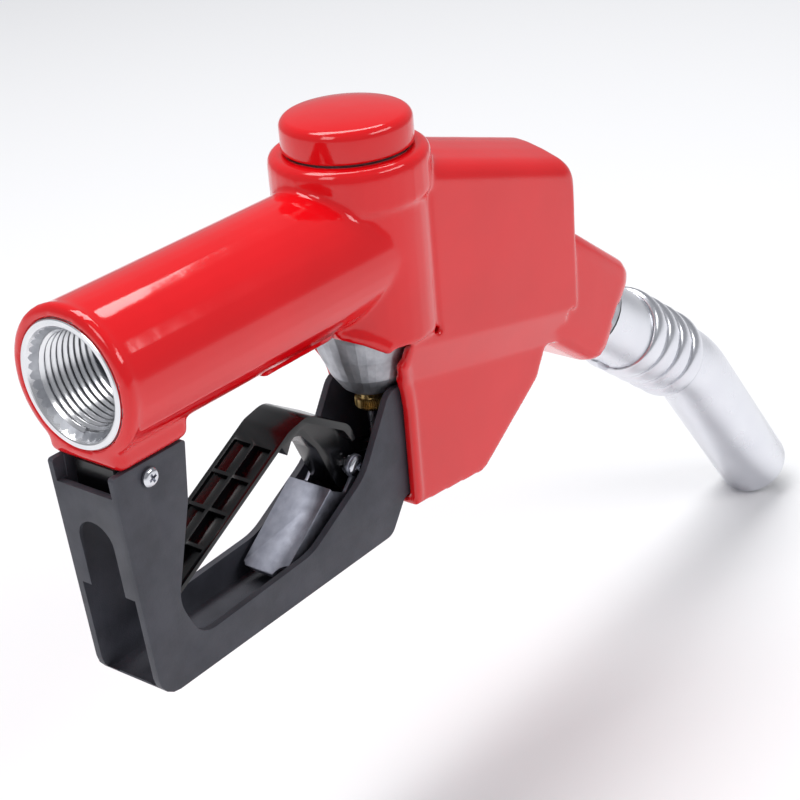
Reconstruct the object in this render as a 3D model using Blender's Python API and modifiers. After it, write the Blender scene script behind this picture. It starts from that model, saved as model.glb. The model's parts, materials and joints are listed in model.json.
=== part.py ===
"""Automatic-shutoff fuel nozzle, as an assembly of separate pieces.

Frame: the origin is the centre of the hose mouth. +X runs along the grip to the spout,
+Z is up along the main valve, and the object is symmetric about Y = 0.
Every size is named here, in metres.
"""
import math

import bmesh
import bpy
from mathutils import Matrix, Vector

MM = 0.001
GAP = 0.3 * MM                  # between pieces that touch
WELD = 0.002 * MM

# --- driving dimensions -------------------------------------------------------------
GRIP_LENGTH = 126 * MM          # hose mouth to main valve axis
VALVE_X = GRIP_LENGTH
TUBE_R = 20.2 * MM              # cast inlet tube, outside
COVER_WALL = 3.2 * MM           # moulded cover on the grip
THREAD_R = 15.9 * MM            # 1 inch hose thread, at mid thread
THREAD_DEPTH = 24 * MM
MOUTH_R = 18.0 * MM             # wide end of the lead-in cone
MOUTH_CONE = 3.0 * MM
INLET_BORE_R = 13.5 * MM

CHAMBER_R = 22 * MM             # main valve chamber, outside
CHAMBER_TOP = 27 * MM
CHAMBER_BORE_R = 16.5 * MM
SEAT_Z = -12 * MM
SEAT_THICKNESS = 3 * MM
PORT_R = 10.5 * MM
BOWL_R = 18.5 * MM              # rounded bottom of the chamber, seen under the grip
BOWL_BOTTOM = -53 * MM
BOWL_BORE_R = 13.2 * MM
BOWL_FLOOR = -45 * MM

BOSS_R = 26.1 * MM              # ring of the cover round the valve cap
BOSS_TOP = 30.8 * MM
CAP_R = 21.3 * MM
CAP_TOP = 43.5 * MM
CAP_PLUG_R = 19.0 * MM

STEM_R = 1.8 * MM
STEM_TIP_R = 0.8 * MM
STEM_BOTTOM = -72.5 * MM
POPPET_R = 13.5 * MM
POPPET_HEIGHT = 6 * MM
NUT_R = 5.8 * MM
NUT_HEIGHT = 7 * MM
PACKING_R = 4.2 * MM

TRIP_OFFSET = 40 * MM           # main valve axis to trip plunger axis
TRIP_R = 4.6 * MM
SLEEVE_WALL = 2.4 * MM
PIVOT_Z = -79 * MM
PIVOT_R = 2.5 * MM
FORK_HALF = 9.5 * MM            # lever's fork round the plunger
DIAPHRAGM_R = 15.5 * MM
DIAPHRAGM_Z = 2 * MM

BODY_HALF_WIDTH = 22.5 * MM     # cover at the hump
BELLY_HALF_WIDTH = 17.0 * MM    # cover at the trip housing
BODY_WALL = 3.0 * MM
RIDGE_SLOPE = 0.318             # fall of the hump's ridge per unit of length
RIDGE_Z = 34.0 * MM             # height of the ridge line above the valve axis
ROOF_FALL = 4.8 * MM            # fall from the ridge to the shoulder
SHOULDER_Y = 18 * MM
HUMP_LENGTH = 92 * MM           # valve axis to hump front
BAND_Z = -33 * MM               # where the side starts to step in to the belly
BAND_DEPTH = 14 * MM
BAND_SLOPE = 0.24
BELLY_BOTTOM = -97 * MM
ARCH_R = 37 * MM                # opening over the lever
GRIP_FLAT = -21.9 * MM          # flat underside of the grip cover
SADDLE_LENGTH = 30 * MM
LUG_X0 = 9 * MM                 # cast lug for the guard's rear bolt
LUG_X1 = 15.5 * MM
LUG_HALF = 4 * MM
LUG_BOTTOM = -36 * MM

SPOUT_R = 15 * MM
SPOUT_WALL = 1.5 * MM
SPOUT_PITCH_1 = math.radians(-36.4)
SPOUT_PITCH_2 = math.radians(-52.7)
SPOUT_BEND_R = 60 * MM
SPOUT_LENGTH_1 = 84 * MM        # snout rim to bend
SPOUT_LENGTH_2 = 79 * MM        # bend to tip
SPOUT_SEAT = 26 * MM            # depth of the tube in its socket
RIM_X = 120.9 * MM              # snout rim centre, from the valve axis
RIM_Z = -71.4 * MM
SNOUT_HALF = 20.3 * MM
SNOUT_LENGTH = 62 * MM
RIDGE_TURNS = 4.5
RIDGE_PITCH = 10.8 * MM
RIDGE_HEIGHT = 2.0 * MM
RIDGE_WIDTH = 4.6 * MM

GUARD_HALF_WIDTH = 13.5 * MM
GUARD_WALL = 2.4 * MM
GUARD_BOTTOM = -104 * MM
GUARD_FRONT_BOTTOM = -100.8 * MM
GUARD_TOP = -25.9 * MM
GUARD_REAR = -1.5 * MM
SLOT_HALF_WIDTH = 7.2 * MM
SLOT_TOP = -44 * MM
BOLT_X = 12.2 * MM
BOLT_Z = -31 * MM
BOLT_R = 2.0 * MM
BOLT_HEAD_R = 3.0 * MM
FRONT_BOLT_DX = 58 * MM         # front guard pin, ahead of the valve axis
FRONT_BOLT_Z = -72 * MM

LEVER_HALF_WIDTH = 9.5 * MM     # finger bar
LEVER_RAIL = 1.6 * MM
RAIL_HEIGHT = 1.5 * MM
BAR_X = VALVE_X - 105 * MM      # rear end of the finger bar's top edge
BAR_Z = -74.8 * MM
BAR_SLOPE = math.radians(28.3)
BAR_LENGTH = 61.5 * MM            # to the start of the arch
BAR_DEPTH = 6.2 * MM
POCKETS = 4
POCKET_START = 3 * MM
POCKET_PITCH = 13 * MM
POCKET_DEPTH = 3.0 * MM
POCKET_RIB = 0.7 * MM           # half the centre rib
POCKET_CROSS_RIB = 1.2 * MM
CHEEK_HALF_WIDTH = 5.2 * MM     # lever at the clip pin and under the valve
PAD_HALF = 4 * MM               # wear plate under the valve stem
PAD_WIDTH = 6 * MM
CLIP_DX = -21 * MM              # clip pin from the valve axis
CLIP_Z = -71.3 * MM
CLIP_PITCH = math.radians(37.0)  # how far the clip hangs below level at rest
CLIP_EYE_R = 4.0 * MM
CLIP_PIN_R = 2.0 * MM
CLIP_SHEET = 1.2 * MM
CLIP_INSIDE = 7.6 * MM          # half the width inside the clip's arms
CLIP_LENGTH = 45 * MM
CLIP_WEB = 5.8 * MM             # top of the clip's web above its pin
CLIP_WEB_START = 12 * MM

TRIP_X = VALVE_X + TRIP_OFFSET
GRIP_R = TUBE_R + GAP + COVER_WALL
AXIS_X = Vector((1, 0, 0))
AXIS_Y = Vector((0, 1, 0))
AXIS_Z = Vector((0, 0, 1))
SPOUT_AXIS = Vector((math.cos(SPOUT_PITCH_1), 0, math.sin(SPOUT_PITCH_1)))
SPOUT_UP = Vector((-math.sin(SPOUT_PITCH_1), 0, math.cos(SPOUT_PITCH_1)))
RIM = Vector((VALVE_X + RIM_X, 0, RIM_Z))

ROUND = 36                      # sides of the large turned shapes
SMALL_ROUND = 24


# --- helpers ------------------------------------------------------------------------
def clear_scene():
    for obj in list(bpy.data.objects):
        bpy.data.objects.remove(obj, do_unlink=True)


def new_collection(name):
    collection = bpy.data.collections.new(name)
    bpy.context.scene.collection.children.link(collection)
    return collection


def make_material(name, colour, roughness, metallic=0.0):
    material = bpy.data.materials.new(name)
    material.use_nodes = True
    shader = material.node_tree.nodes["Principled BSDF"]
    shader.inputs["Base Color"].default_value = (*colour, 1.0)
    shader.inputs["Roughness"].default_value = roughness
    shader.inputs["Metallic"].default_value = metallic
    material.diffuse_color = (*colour, 1.0)
    return material


def add_object(name, data, material=None, smooth=True):
    """An object with a material is a piece; one without is a cutter."""
    obj = bpy.data.objects.new(name, data)
    if material is None:
        cutters.objects.link(obj)
        obj.hide_render = True
        obj.display_type = "WIRE"
        return obj
    parts.objects.link(obj)
    data.materials.append(material)
    if smooth and isinstance(data, bpy.types.Mesh):
        data.shade_smooth()
        data.set_sharp_from_angle(angle=math.radians(35))
    return obj


def mesh_from(name, bm):
    mesh = bpy.data.meshes.new(name)
    bm.to_mesh(mesh)
    bm.free()
    return mesh


def rotation_to(axis):
    return Vector((0, 0, 1)).rotation_difference(axis).to_matrix().to_4x4()


def place(obj, centre, axis=AXIS_Z):
    obj.matrix_world = Matrix.Translation(centre) @ rotation_to(axis)
    return obj


def modifier(obj, kind, **settings):
    mod = obj.modifiers.new(kind.title(), kind)
    for key, value in settings.items():
        setattr(mod, key, value)
    return mod


def boolean(obj, others, operation):
    """One exact Boolean with several operands, which sit in a collection of their own."""
    if len(others) == 1:
        modifier(obj, "BOOLEAN", object=others[0], operation=operation, solver="EXACT")
    else:
        group = bpy.data.collections.new(f"{obj.name}_{operation.lower()}")
        cutters.children.link(group)
        for other in others:
            cutters.objects.unlink(other)
            group.objects.link(other)
        modifier(obj, "BOOLEAN", operand_type="COLLECTION", collection=group,
                 operation=operation, solver="EXACT")
    modifier(obj, "WELD", merge_threshold=WELD)


def cut(obj, *others):
    boolean(obj, others, "DIFFERENCE")


def join(obj, *others):
    boolean(obj, others, "UNION")


def turned(name, profile, centre, axis=AXIS_Z, material=None, closed=False, steps=ROUND):
    """Revolve (radius, height) points, listed from top to bottom on the outer side."""
    bm = bmesh.new()
    verts = [bm.verts.new((radius, 0, height)) for radius, height in profile]
    pairs = list(zip(verts, verts[1:]))
    if closed:
        pairs.append((verts[-1], verts[0]))
    for pair in pairs:
        bm.edges.new(pair)
    obj = add_object(name, mesh_from(name, bm), material)
    modifier(obj, "SCREW", axis="Z", steps=steps, render_steps=steps, angle=math.tau,
             use_merge_vertices=True, merge_threshold=0.00001)
    return place(obj, centre, axis)


def tube(name, outer, inner, top, bottom, centre, axis=AXIS_Z, material=None, steps=ROUND):
    profile = [(inner, top), (outer, top), (outer, bottom), (inner, bottom)]
    return turned(name, profile, centre, axis, material, closed=True, steps=steps)


def rod(name, radius, start, end, material=None, sides=SMALL_ROUND):
    """A plain cylinder from one point to another."""
    start, end = Vector(start), Vector(end)
    bm = bmesh.new()
    bmesh.ops.create_cone(bm, cap_ends=True, segments=sides, radius1=radius, radius2=radius,
                          depth=(end - start).length)
    bm.transform(Matrix.Translation((start + end) / 2) @ rotation_to(end - start))
    return add_object(name, mesh_from(name, bm), material)


def block(name, low, high, material=None, bevel=0.0, segments=1, matrix=None):
    low, high = Vector(low), Vector(high)
    bm = bmesh.new()
    bmesh.ops.create_cube(bm, size=1.0)
    size = Matrix.Diagonal((*(high - low), 1.0))
    bm.transform(Matrix.Translation((low + high) / 2) @ size)
    if bevel:
        bmesh.ops.bevel(bm, geom=bm.edges[:], offset=bevel, segments=segments, profile=0.5,
                        affect="EDGES", clamp_overlap=True)
    if matrix is not None:
        bm.transform(matrix)
    return add_object(name, mesh_from(name, bm), material)


def rounded(corners, steps=4):
    """Outline points for (x, z, radius) corners; each corner becomes an arc."""
    points = []
    count = len(corners)
    for index, (x, z, radius) in enumerate(corners):
        here = Vector((x, z))
        before = Vector(corners[index - 1][:2]) - here
        after = Vector(corners[(index + 1) % count][:2]) - here
        if radius <= 0:
            points.append(here)
            continue
        angle = before.angle(after)
        reach = min(radius / math.tan(angle / 2), before.length * 0.49, after.length * 0.49)
        start = here + before.normalized() * reach
        end = here + after.normalized() * reach
        true_radius = reach * math.tan(angle / 2)
        inward = (before.normalized() + after.normalized()).normalized()
        centre = here + inward * (true_radius / math.sin(angle / 2))
        first, last = start - centre, end - centre
        sweep = first.angle_signed(last)
        for step in range(steps + 1):
            turn = Matrix.Rotation(-sweep * step / steps, 2)
            points.append(centre + turn @ first)
    return [(point.x, point.y) for point in points]


def outline_solid(name, outline, half_width, material=None, y=0.0):
    """A flat (x, z) outline given thickness along Y."""
    curve = bpy.data.curves.new(name, "CURVE")
    curve.dimensions = "2D"
    curve.fill_mode = "BOTH"
    curve.extrude = half_width
    spline = curve.splines.new("POLY")
    spline.points.add(len(outline) - 1)
    for point, (x, z) in zip(spline.points, outline):
        point.co = (x, z, 0, 1)
    spline.use_cyclic_u = True
    matrix = Matrix.Translation((0, y, 0)) @ Matrix.Rotation(math.radians(90), 4, "X")
    return from_curve(name, curve, matrix, material)


def from_curve(name, curve, matrix, material=None):
    """Turn a curve into a closed mesh, with its place in its mesh."""
    guide = bpy.data.objects.new(name + "_curve", curve)
    bpy.context.scene.collection.objects.link(guide)
    bpy.context.view_layer.update()
    evaluated = guide.evaluated_get(bpy.context.evaluated_depsgraph_get())
    mesh = bpy.data.meshes.new_from_object(evaluated)
    bm = bmesh.new()
    bm.from_mesh(mesh)
    bpy.data.meshes.remove(mesh)
    bmesh.ops.remove_doubles(bm, verts=bm.verts[:], dist=0.000005)
    bmesh.ops.recalc_face_normals(bm, faces=bm.faces[:])
    bm.transform(matrix)
    bpy.data.objects.remove(guide, do_unlink=True)
    return add_object(name, mesh_from(name, bm), material)


def coil(name, radius, wire, turns, height, centre, axis, material, per_turn=8):
    """A compression spring: a POLY helix with a round section and closed ends."""
    curve = bpy.data.curves.new(name, "CURVE")
    curve.dimensions = "3D"
    curve.bevel_depth = wire
    curve.bevel_resolution = 2
    curve.use_fill_caps = True
    spline = curve.splines.new("POLY")
    count = int(turns * per_turn)
    spline.points.add(count)
    for index, point in enumerate(spline.points):
        angle = math.tau * index / per_turn
        rise = wire + (height - 2 * wire) * index / count
        point.co = (radius * math.cos(angle), radius * math.sin(angle), rise, 1)
    matrix = Matrix.Translation(centre) @ rotation_to(axis)
    return from_curve(name, curve, matrix, material)


def wire_path(name, points, wire, material):
    curve = bpy.data.curves.new(name, "CURVE")
    curve.dimensions = "3D"
    curve.bevel_depth = wire
    curve.bevel_resolution = 2
    curve.use_fill_caps = True
    spline = curve.splines.new("POLY")
    spline.points.add(len(points) - 1)
    for point, place_at in zip(spline.points, points):
        point.co = (*place_at, 1)
    return from_curve(name, curve, Matrix.Identity(4), material)


def loft(name, sections, material=None):
    """Closed skin through rings of the same number of points."""
    bm = bmesh.new()
    rings = [[bm.verts.new(point) for point in ring] for ring in sections]
    for ring, following in zip(rings, rings[1:]):
        for index in range(len(ring)):
            following_index = (index + 1) % len(ring)
            bm.faces.new((ring[index], ring[following_index],
                          following[following_index], following[index]))
    bm.faces.new(rings[0])
    bm.faces.new(rings[-1])
    bmesh.ops.recalc_face_normals(bm, faces=bm.faces[:])
    return add_object(name, mesh_from(name, bm), material)


# --- body casting and its cover -------------------------------------------------------
def ridge_z(dx):
    """Height of the hump's ridge, dx ahead of the valve axis."""
    return RIDGE_Z - RIDGE_SLOPE * dx


def roof_drop(y, half_width):
    """How far the roof and its rounded shoulder are below the ridge at y."""
    drop = ROOF_FALL * (abs(y) / SHOULDER_Y) ** 1.5
    edge = half_width - SHOULDER_Y
    beyond = max(abs(y) - SHOULDER_Y, 0.0) / edge if edge > 0 else 0.0
    return drop + edge * (1 - math.sqrt(max(1 - beyond * beyond, 0.0)))


def hump_section(y, half_width, inset):
    """Side outline of the hump at y, drawn in by inset from the outer skin."""
    x0 = VALVE_X
    drop = roof_drop(y, half_width) + inset
    edge = roof_drop(y, half_width) - ROOF_FALL * (abs(y) / SHOULDER_Y) ** 1.5
    front = HUMP_LENGTH - inset - edge * 0.6
    low = BAND_Z + inset * 0.3
    rear = 12 * MM
    return [(x0 + rear, y, ridge_z(rear) - drop),
            (x0 + front - 4 * MM, y, ridge_z(front - 4 * MM) - drop),
            (x0 + front - 1 * MM, y, ridge_z(front) - drop - 1.2 * MM),
            (x0 + front, y, ridge_z(front) - drop - 4 * MM),
            (x0 + front - 1 * MM, y, low - BAND_SLOPE * front),
            (x0 + rear, y, low)]


def hump_block(name, inset, material=None):
    half_width = BODY_HALF_WIDTH - inset
    shares = (-1.0, -0.97, -0.9, -0.8, -0.5, -0.22, 0.0, 0.22, 0.5, 0.8, 0.9, 0.97, 1.0)
    return loft(name, [hump_section(share * half_width, half_width, inset) for share in shares],
                material)


def belly_outline(inset, rear_inset, lift):
    """Side outline of the trip housing under the body; lift raises its hidden top."""
    x0 = VALVE_X
    rear = x0 - 4 * MM + rear_inset
    return rounded([(rear, BAND_Z + lift, 0),
                    (x0 + 84 * MM - inset, BAND_Z - BAND_SLOPE * 84 * MM + lift, 0),
                    (x0 + 76.5 * MM - inset, -66 * MM, 3 * MM),
                    (x0 + 70.5 * MM - inset, -76 * MM + inset * 0.8, 5 * MM),
                    (x0 + 37 * MM - inset * 0.5, -97.6 * MM + inset, 7 * MM),
                    (rear, -93.4 * MM + inset, 0)])


def band_block(name, inset, lift, material=None):
    """Sloping step between the wide body side and the narrow belly."""
    x0 = VALVE_X - 4 * MM
    x1 = VALVE_X + 84 * MM - inset
    sections = []
    wide, narrow = BODY_HALF_WIDTH - inset, BELLY_HALF_WIDTH - inset
    for y, depth in ((-wide, 0.0), (-narrow, BAND_DEPTH), (narrow, BAND_DEPTH), (wide, 0.0)):
        fall = BAND_SLOPE * 84 * MM
        depth = max(depth, 0.2 * MM) - inset * 0.5
        sections.append([(x0, y, BAND_Z + lift), (x1, y, BAND_Z + lift - fall),
                         (x1, y, BAND_Z - depth - fall), (x0, y, BAND_Z - depth)])
    return loft(name, sections, material)


def snout_matrix():
    rotation = Matrix((SPOUT_AXIS, (0, 1, 0), SPOUT_UP)).transposed().to_4x4()
    return Matrix.Translation(RIM) @ rotation


def spout_point(distance):
    """A point on the spout's first axis, measured from the snout's rim."""
    return RIM + SPOUT_AXIS * distance


def build_cover(material):
    edge = 2.5 * MM
    grip = turned("hand_cover", [(0, VALVE_X), (GRIP_R, VALVE_X), (GRIP_R, edge),
                                 (GRIP_R - 0.7 * MM, edge * 0.3), (GRIP_R - edge, 0),
                                 (0, 0)], (0, 0, 0), AXIS_X, material)
    saddle = block("add_saddle", (0.4 * MM, -15.5 * MM, GUARD_TOP + GAP),
                   (SADDLE_LENGTH, 15.5 * MM, -8 * MM), bevel=2.5 * MM)
    boss_low, boss_step = -31 * MM, 17 * MM
    boss = turned("add_boss", [(0, BOSS_TOP), (BOSS_R - 2.5 * MM, BOSS_TOP),
                               (BOSS_R - 0.7 * MM, BOSS_TOP - 0.8 * MM),
                               (BOSS_R, BOSS_TOP - 3 * MM), (BOSS_R, boss_step),
                               (BOSS_R - 1.6 * MM, boss_step - 2 * MM),
                               (BOSS_R - 1.6 * MM, boss_low), (0, boss_low)], (VALVE_X, 0, 0))
    snout = block("add_snout", (-SNOUT_LENGTH, -SNOUT_HALF, -SNOUT_HALF),
                  (0, SNOUT_HALF, SNOUT_HALF), bevel=8 * MM, segments=3, matrix=snout_matrix())
    belly = outline_solid("add_belly", belly_outline(0, 0, 2 * MM), BELLY_HALF_WIDTH)
    join(grip, saddle, boss, hump_block("add_hump", 0), band_block("add_band", 0, 3 * MM), belly, snout)

    # the hollow for the casting
    bore = rod("cut_cover_bore", TUBE_R + GAP, (-5 * MM, 0, 0), (VALVE_X, 0, 0), sides=ROUND)
    well = rod("cut_cover_well", CHAMBER_R + GAP, (VALVE_X, 0, BAND_Z + 0.5 * MM),
               (VALVE_X, 0, CHAMBER_TOP + GAP), sides=ROUND)
    cap_hole = rod("cut_cap_hole", CAP_PLUG_R + 0.5 * MM, (VALVE_X, 0, 20 * MM),
                   (VALVE_X, 0, 50 * MM), sides=ROUND)
    snout_bore = rod("cut_snout_bore", SPOUT_R + 4.2 * MM, spout_point(-SNOUT_LENGTH),
                     spout_point(5 * MM), sides=ROUND)
    inner_belly = outline_solid("cut_belly", belly_outline(BODY_WALL, -6 * MM, 8 * MM),
                                BELLY_HALF_WIDTH - BODY_WALL)
    lug_slot = block("cut_lug_slot", (LUG_X0 - GAP, -LUG_HALF - GAP, -40 * MM),
                     (LUG_X1 + GAP, LUG_HALF + GAP, -10 * MM))
    arch_x = VALVE_X - 1.5 * MM
    arch_start = SADDLE_LENGTH + 0.5 * MM
    arch = [(arch_start, GRIP_FLAT), (arch_x - ARCH_R, GRIP_FLAT)]
    for step in range(1, 9):
        angle = math.radians(90 * step / 8)
        arch.append((arch_x - ARCH_R + ARCH_R * math.sin(angle),
                     GRIP_FLAT - ARCH_R + ARCH_R * math.cos(angle)))
    arch += [(arch_x, -130 * MM), (arch_start, -130 * MM)]
    window = outline_solid("cut_window", arch, 40 * MM)
    cut(grip, bore, well, cap_hole, hump_block("cut_hump", BODY_WALL),
        band_block("cut_band", BODY_WALL, 10 * MM), snout_bore, inner_belly, lug_slot, window)
    return grip


def build_casting(material):
    tube_end = VALVE_X - 5 * MM
    body = turned("body_casting", [(0, tube_end), (TUBE_R, tube_end), (TUBE_R, 1 * MM),
                                   (TUBE_R - 0.8 * MM, 0), (0, 0)], (0, 0, 0), AXIS_X, material)
    chamber = turned("add_chamber", [(0, CHAMBER_TOP), (CHAMBER_R, CHAMBER_TOP),
                                     (CHAMBER_R, -22 * MM), (BOWL_R, -30 * MM),
                                     (BOWL_R - 2.2 * MM, -38 * MM), (BOWL_R - 5.4 * MM, -46 * MM),
                                     (BOWL_R - 9 * MM, BOWL_BOTTOM + 1.5 * MM),
                                     (BOWL_R - 11 * MM, BOWL_BOTTOM), (0, BOWL_BOTTOM)],
                     (VALVE_X, 0, 0))
    hump = hump_block("add_casting_hump", BODY_WALL + GAP)
    snout = rod("add_casting_snout", SPOUT_R + 4.2 * MM - GAP, spout_point(-SNOUT_LENGTH - 6 * MM),
                spout_point(-2 * MM), sides=ROUND)
    lug = block("add_rear_lug", (LUG_X0, -LUG_HALF, LUG_BOTTOM), (LUG_X1, LUG_HALF, -16 * MM))
    web = block("add_front_web", (VALVE_X + FRONT_BOLT_DX - 6 * MM, -8 * MM, FRONT_BOLT_Z - 4 * MM),
                (VALVE_X + FRONT_BOLT_DX + 4 * MM, 8 * MM, -38 * MM))
    duct_shell = block("add_duct_shell", (VALVE_X + 2 * MM, -13.4 * MM, -41 * MM),
                       (VALVE_X + 52 * MM, 13.4 * MM, -16 * MM), bevel=2 * MM)
    join(body, chamber, hump, snout, lug, web, duct_shell)

    thread = turned("cut_thread", [(0, THREAD_DEPTH), (THREAD_R, THREAD_DEPTH),
                                   (THREAD_R, MOUTH_CONE), (MOUTH_R + 1.4 * MM, -2 * MM),
                                   (0, -2 * MM)], (0, 0, 0), AXIS_X)
    bore = rod("cut_inlet", INLET_BORE_R, (10 * MM, 0, 0), (VALVE_X, 0, 0))
    upper = rod("cut_chamber", CHAMBER_BORE_R, (VALVE_X, 0, SEAT_Z), (VALVE_X, 0, 60 * MM),
                sides=ROUND)
    port = rod("cut_port", PORT_R, (VALVE_X, 0, SEAT_Z - 10 * MM), (VALVE_X, 0, 0), sides=ROUND)
    lower = turned("cut_bowl", [(0, SEAT_Z - SEAT_THICKNESS), (BOWL_BORE_R, SEAT_Z - SEAT_THICKNESS),
                                (BOWL_BORE_R, BOWL_FLOOR + 10 * MM),
                                (BOWL_BORE_R - 4.5 * MM, BOWL_FLOOR), (0, BOWL_FLOOR)],
                   (VALVE_X, 0, 0))
    duct = block("cut_duct", (VALVE_X, -10 * MM, -36.5 * MM),
                 (VALVE_X + 76 * MM, 10 * MM, -19 * MM), bevel=3 * MM)
    throat = rod("cut_throat", SPOUT_R - 2.5 * MM, spout_point(-70 * MM), spout_point(0))
    sleeve = rod("add_sleeve", TRIP_R + GAP + SLEEVE_WALL, (TRIP_X, 0, -40 * MM),
                 (TRIP_X, 0, DIAPHRAGM_Z - 4 * MM))
    socket = rod("cut_socket", SPOUT_R + GAP, spout_point(-SPOUT_SEAT - GAP),
                 spout_point(8 * MM), sides=ROUND)
    trip_bore = rod("cut_trip_bore", TRIP_R + GAP, (TRIP_X, 0, -60 * MM), (TRIP_X, 0, 10 * MM))
    spring_well = rod("cut_spring_well", TRIP_R + 3.0 * MM, (TRIP_X, 0, -18 * MM),
                      (TRIP_X, 0, DIAPHRAGM_Z - 8 * MM))
    diaphragm_well = rod("cut_diaphragm_well", DIAPHRAGM_R - 3 * MM,
                         (TRIP_X, 0, DIAPHRAGM_Z - 8 * MM), (TRIP_X, 0, 40 * MM), sides=ROUND)
    diaphragm_seat = rod("cut_diaphragm_seat", DIAPHRAGM_R + GAP, (TRIP_X, 0, DIAPHRAGM_Z),
                         (TRIP_X, 0, 40 * MM), sides=ROUND)
    packing = rod("cut_packing", PACKING_R, (VALVE_X, 0, BOWL_BOTTOM - 3 * MM),
                  (VALVE_X, 0, BOWL_FLOOR - 2 * MM))
    stem = rod("cut_stem_hole", STEM_R + GAP, (VALVE_X, 0, BOWL_FLOOR - 4 * MM),
               (VALVE_X, 0, BOWL_FLOOR + 2 * MM), sides=16)
    bolt = rod("cut_rear_bolt", BOLT_R + GAP, (BOLT_X, -30 * MM, BOLT_Z),
               (BOLT_X, 30 * MM, BOLT_Z), sides=16)
    front_bolt = rod("cut_front_bolt", BOLT_R + GAP,
                     (VALVE_X + FRONT_BOLT_DX, -30 * MM, FRONT_BOLT_Z),
                     (VALVE_X + FRONT_BOLT_DX, 30 * MM, FRONT_BOLT_Z), sides=16)
    cut(body, duct, throat)
    join(body, sleeve)
    cut(body, thread, bore, upper, port, lower, socket, trip_bore, spring_well, diaphragm_well,
        diaphragm_seat, packing, stem, bolt, front_bolt)
    return body


# --- main valve -----------------------------------------------------------------------
def build_valve(steel, brass, rubber, red, cast):
    centre = (VALVE_X, 0, 0)
    plug_top = BOSS_TOP + 1.8 * MM
    shoulder = CHAMBER_TOP + GAP
    turned("valve_cap", [(0, plug_top), (CAP_PLUG_R, plug_top), (CAP_PLUG_R, shoulder),
                         (CHAMBER_BORE_R - GAP, shoulder), (CHAMBER_BORE_R - GAP, 18 * MM),
                         (CHAMBER_BORE_R - 3 * MM, 18 * MM), (CHAMBER_BORE_R - 3 * MM, 25 * MM),
                         (0, 25 * MM)], centre, material=cast)
    base = BOSS_TOP + 0.6 * MM
    inner = CAP_PLUG_R + GAP
    turned("cap_cover", [(0, CAP_TOP), (CAP_R * 0.6, CAP_TOP - 0.5 * MM),
                         (CAP_R - 2.4 * MM, CAP_TOP - 1.6 * MM), (CAP_R - 0.6 * MM, CAP_TOP - 2.8 * MM),
                         (CAP_R, CAP_TOP - 4.5 * MM), (CAP_R, base), (inner, base),
                         (inner, plug_top + GAP), (0, plug_top + GAP)], centre, material=red)
    tube("cap_seal", CHAMBER_BORE_R - GAP, CHAMBER_BORE_R - 2.4 * MM, 17.6 * MM, 15.4 * MM,
         centre, material=rubber)
    seat = SEAT_Z + GAP
    seal_height = 1.6 * MM
    tube("poppet_seal", POPPET_R - 0.8 * MM, STEM_R + 1.5 * MM, seat + seal_height, seat, centre,
         material=rubber)
    disc = seat + seal_height + GAP
    turned("main_poppet", [(STEM_R + GAP, disc + POPPET_HEIGHT), (6 * MM, disc + POPPET_HEIGHT),
                           (6 * MM, disc + 3 * MM), (POPPET_R, disc + 2 * MM), (POPPET_R, disc),
                           (STEM_R + GAP, disc)], centre, material=brass, closed=True)
    coil("poppet_spring", 9.4 * MM, 1.0 * MM, 4.5, 24.8 * MM - (disc + 3.4 * MM),
         (VALVE_X, 0, disc + 3.2 * MM), AXIS_Z, steel)
    stem_top = disc + POPPET_HEIGHT - 1 * MM
    turned("valve_stem", [(0, stem_top), (STEM_R, stem_top), (STEM_R, STEM_BOTTOM + 1.2 * MM),
                          (STEM_TIP_R, STEM_BOTTOM), (0, STEM_BOTTOM)], centre, material=steel,
           steps=20)
    top = BOWL_BOTTOM - GAP
    turned("packing_nut", [(STEM_R + GAP, BOWL_BOTTOM + 4 * MM), (PACKING_R - GAP, BOWL_BOTTOM + 4 * MM),
                           (PACKING_R - GAP, top), (NUT_R, top), (NUT_R, top - NUT_HEIGHT * 0.75),
                           (NUT_R - 1.2 * MM, top - NUT_HEIGHT), (STEM_R + GAP, top - NUT_HEIGHT)],
           centre, material=brass, closed=True, steps=32)
    tube("packing_seal", PACKING_R - GAP, STEM_R + GAP, BOWL_FLOOR - 2 * MM - GAP,
         BOWL_BOTTOM + 4 * MM + GAP, centre, material=rubber, steps=SMALL_ROUND)


def build_inlet(steel):
    """A strainer cup seated behind the thread, open to the hose."""
    start, end = THREAD_DEPTH + 2 * MM, THREAD_DEPTH + 34 * MM
    outer, inner = INLET_BORE_R - GAP, INLET_BORE_R - 1.3 * MM
    flange = start + 2 * MM
    turned("inlet_strainer", [(0, end), (outer - 1.5 * MM, end), (outer - 1.5 * MM, flange),
                              (outer, flange), (outer, start), (inner - 1.5 * MM, start),
                              (inner - 1.5 * MM, end - 1 * MM), (0, end - 1 * MM)],
           (0, 0, 0), AXIS_X, steel, steps=32)


# --- spout -----------------------------------------------------------------------------
def spout_path():
    """Centre line: a straight run, a bend and a second straight run."""
    points = [spout_point(-SPOUT_SEAT), spout_point(SPOUT_LENGTH_1 * 0.5),
              spout_point(SPOUT_LENGTH_1)]
    down = Vector((math.sin(SPOUT_PITCH_1), 0, -math.cos(SPOUT_PITCH_1)))
    centre = points[-1] + down * SPOUT_BEND_R
    for step in range(1, 5):
        angle = SPOUT_PITCH_1 + (SPOUT_PITCH_2 - SPOUT_PITCH_1) * step / 4
        outward = Vector((-math.sin(angle), 0, math.cos(angle)))
        points.append(centre + outward * SPOUT_BEND_R)
    points.append(points[-1] + spout_end_axis() * SPOUT_LENGTH_2)
    return points


def spout_end_axis():
    return Vector((math.cos(SPOUT_PITCH_2), 0, math.sin(SPOUT_PITCH_2)))


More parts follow.
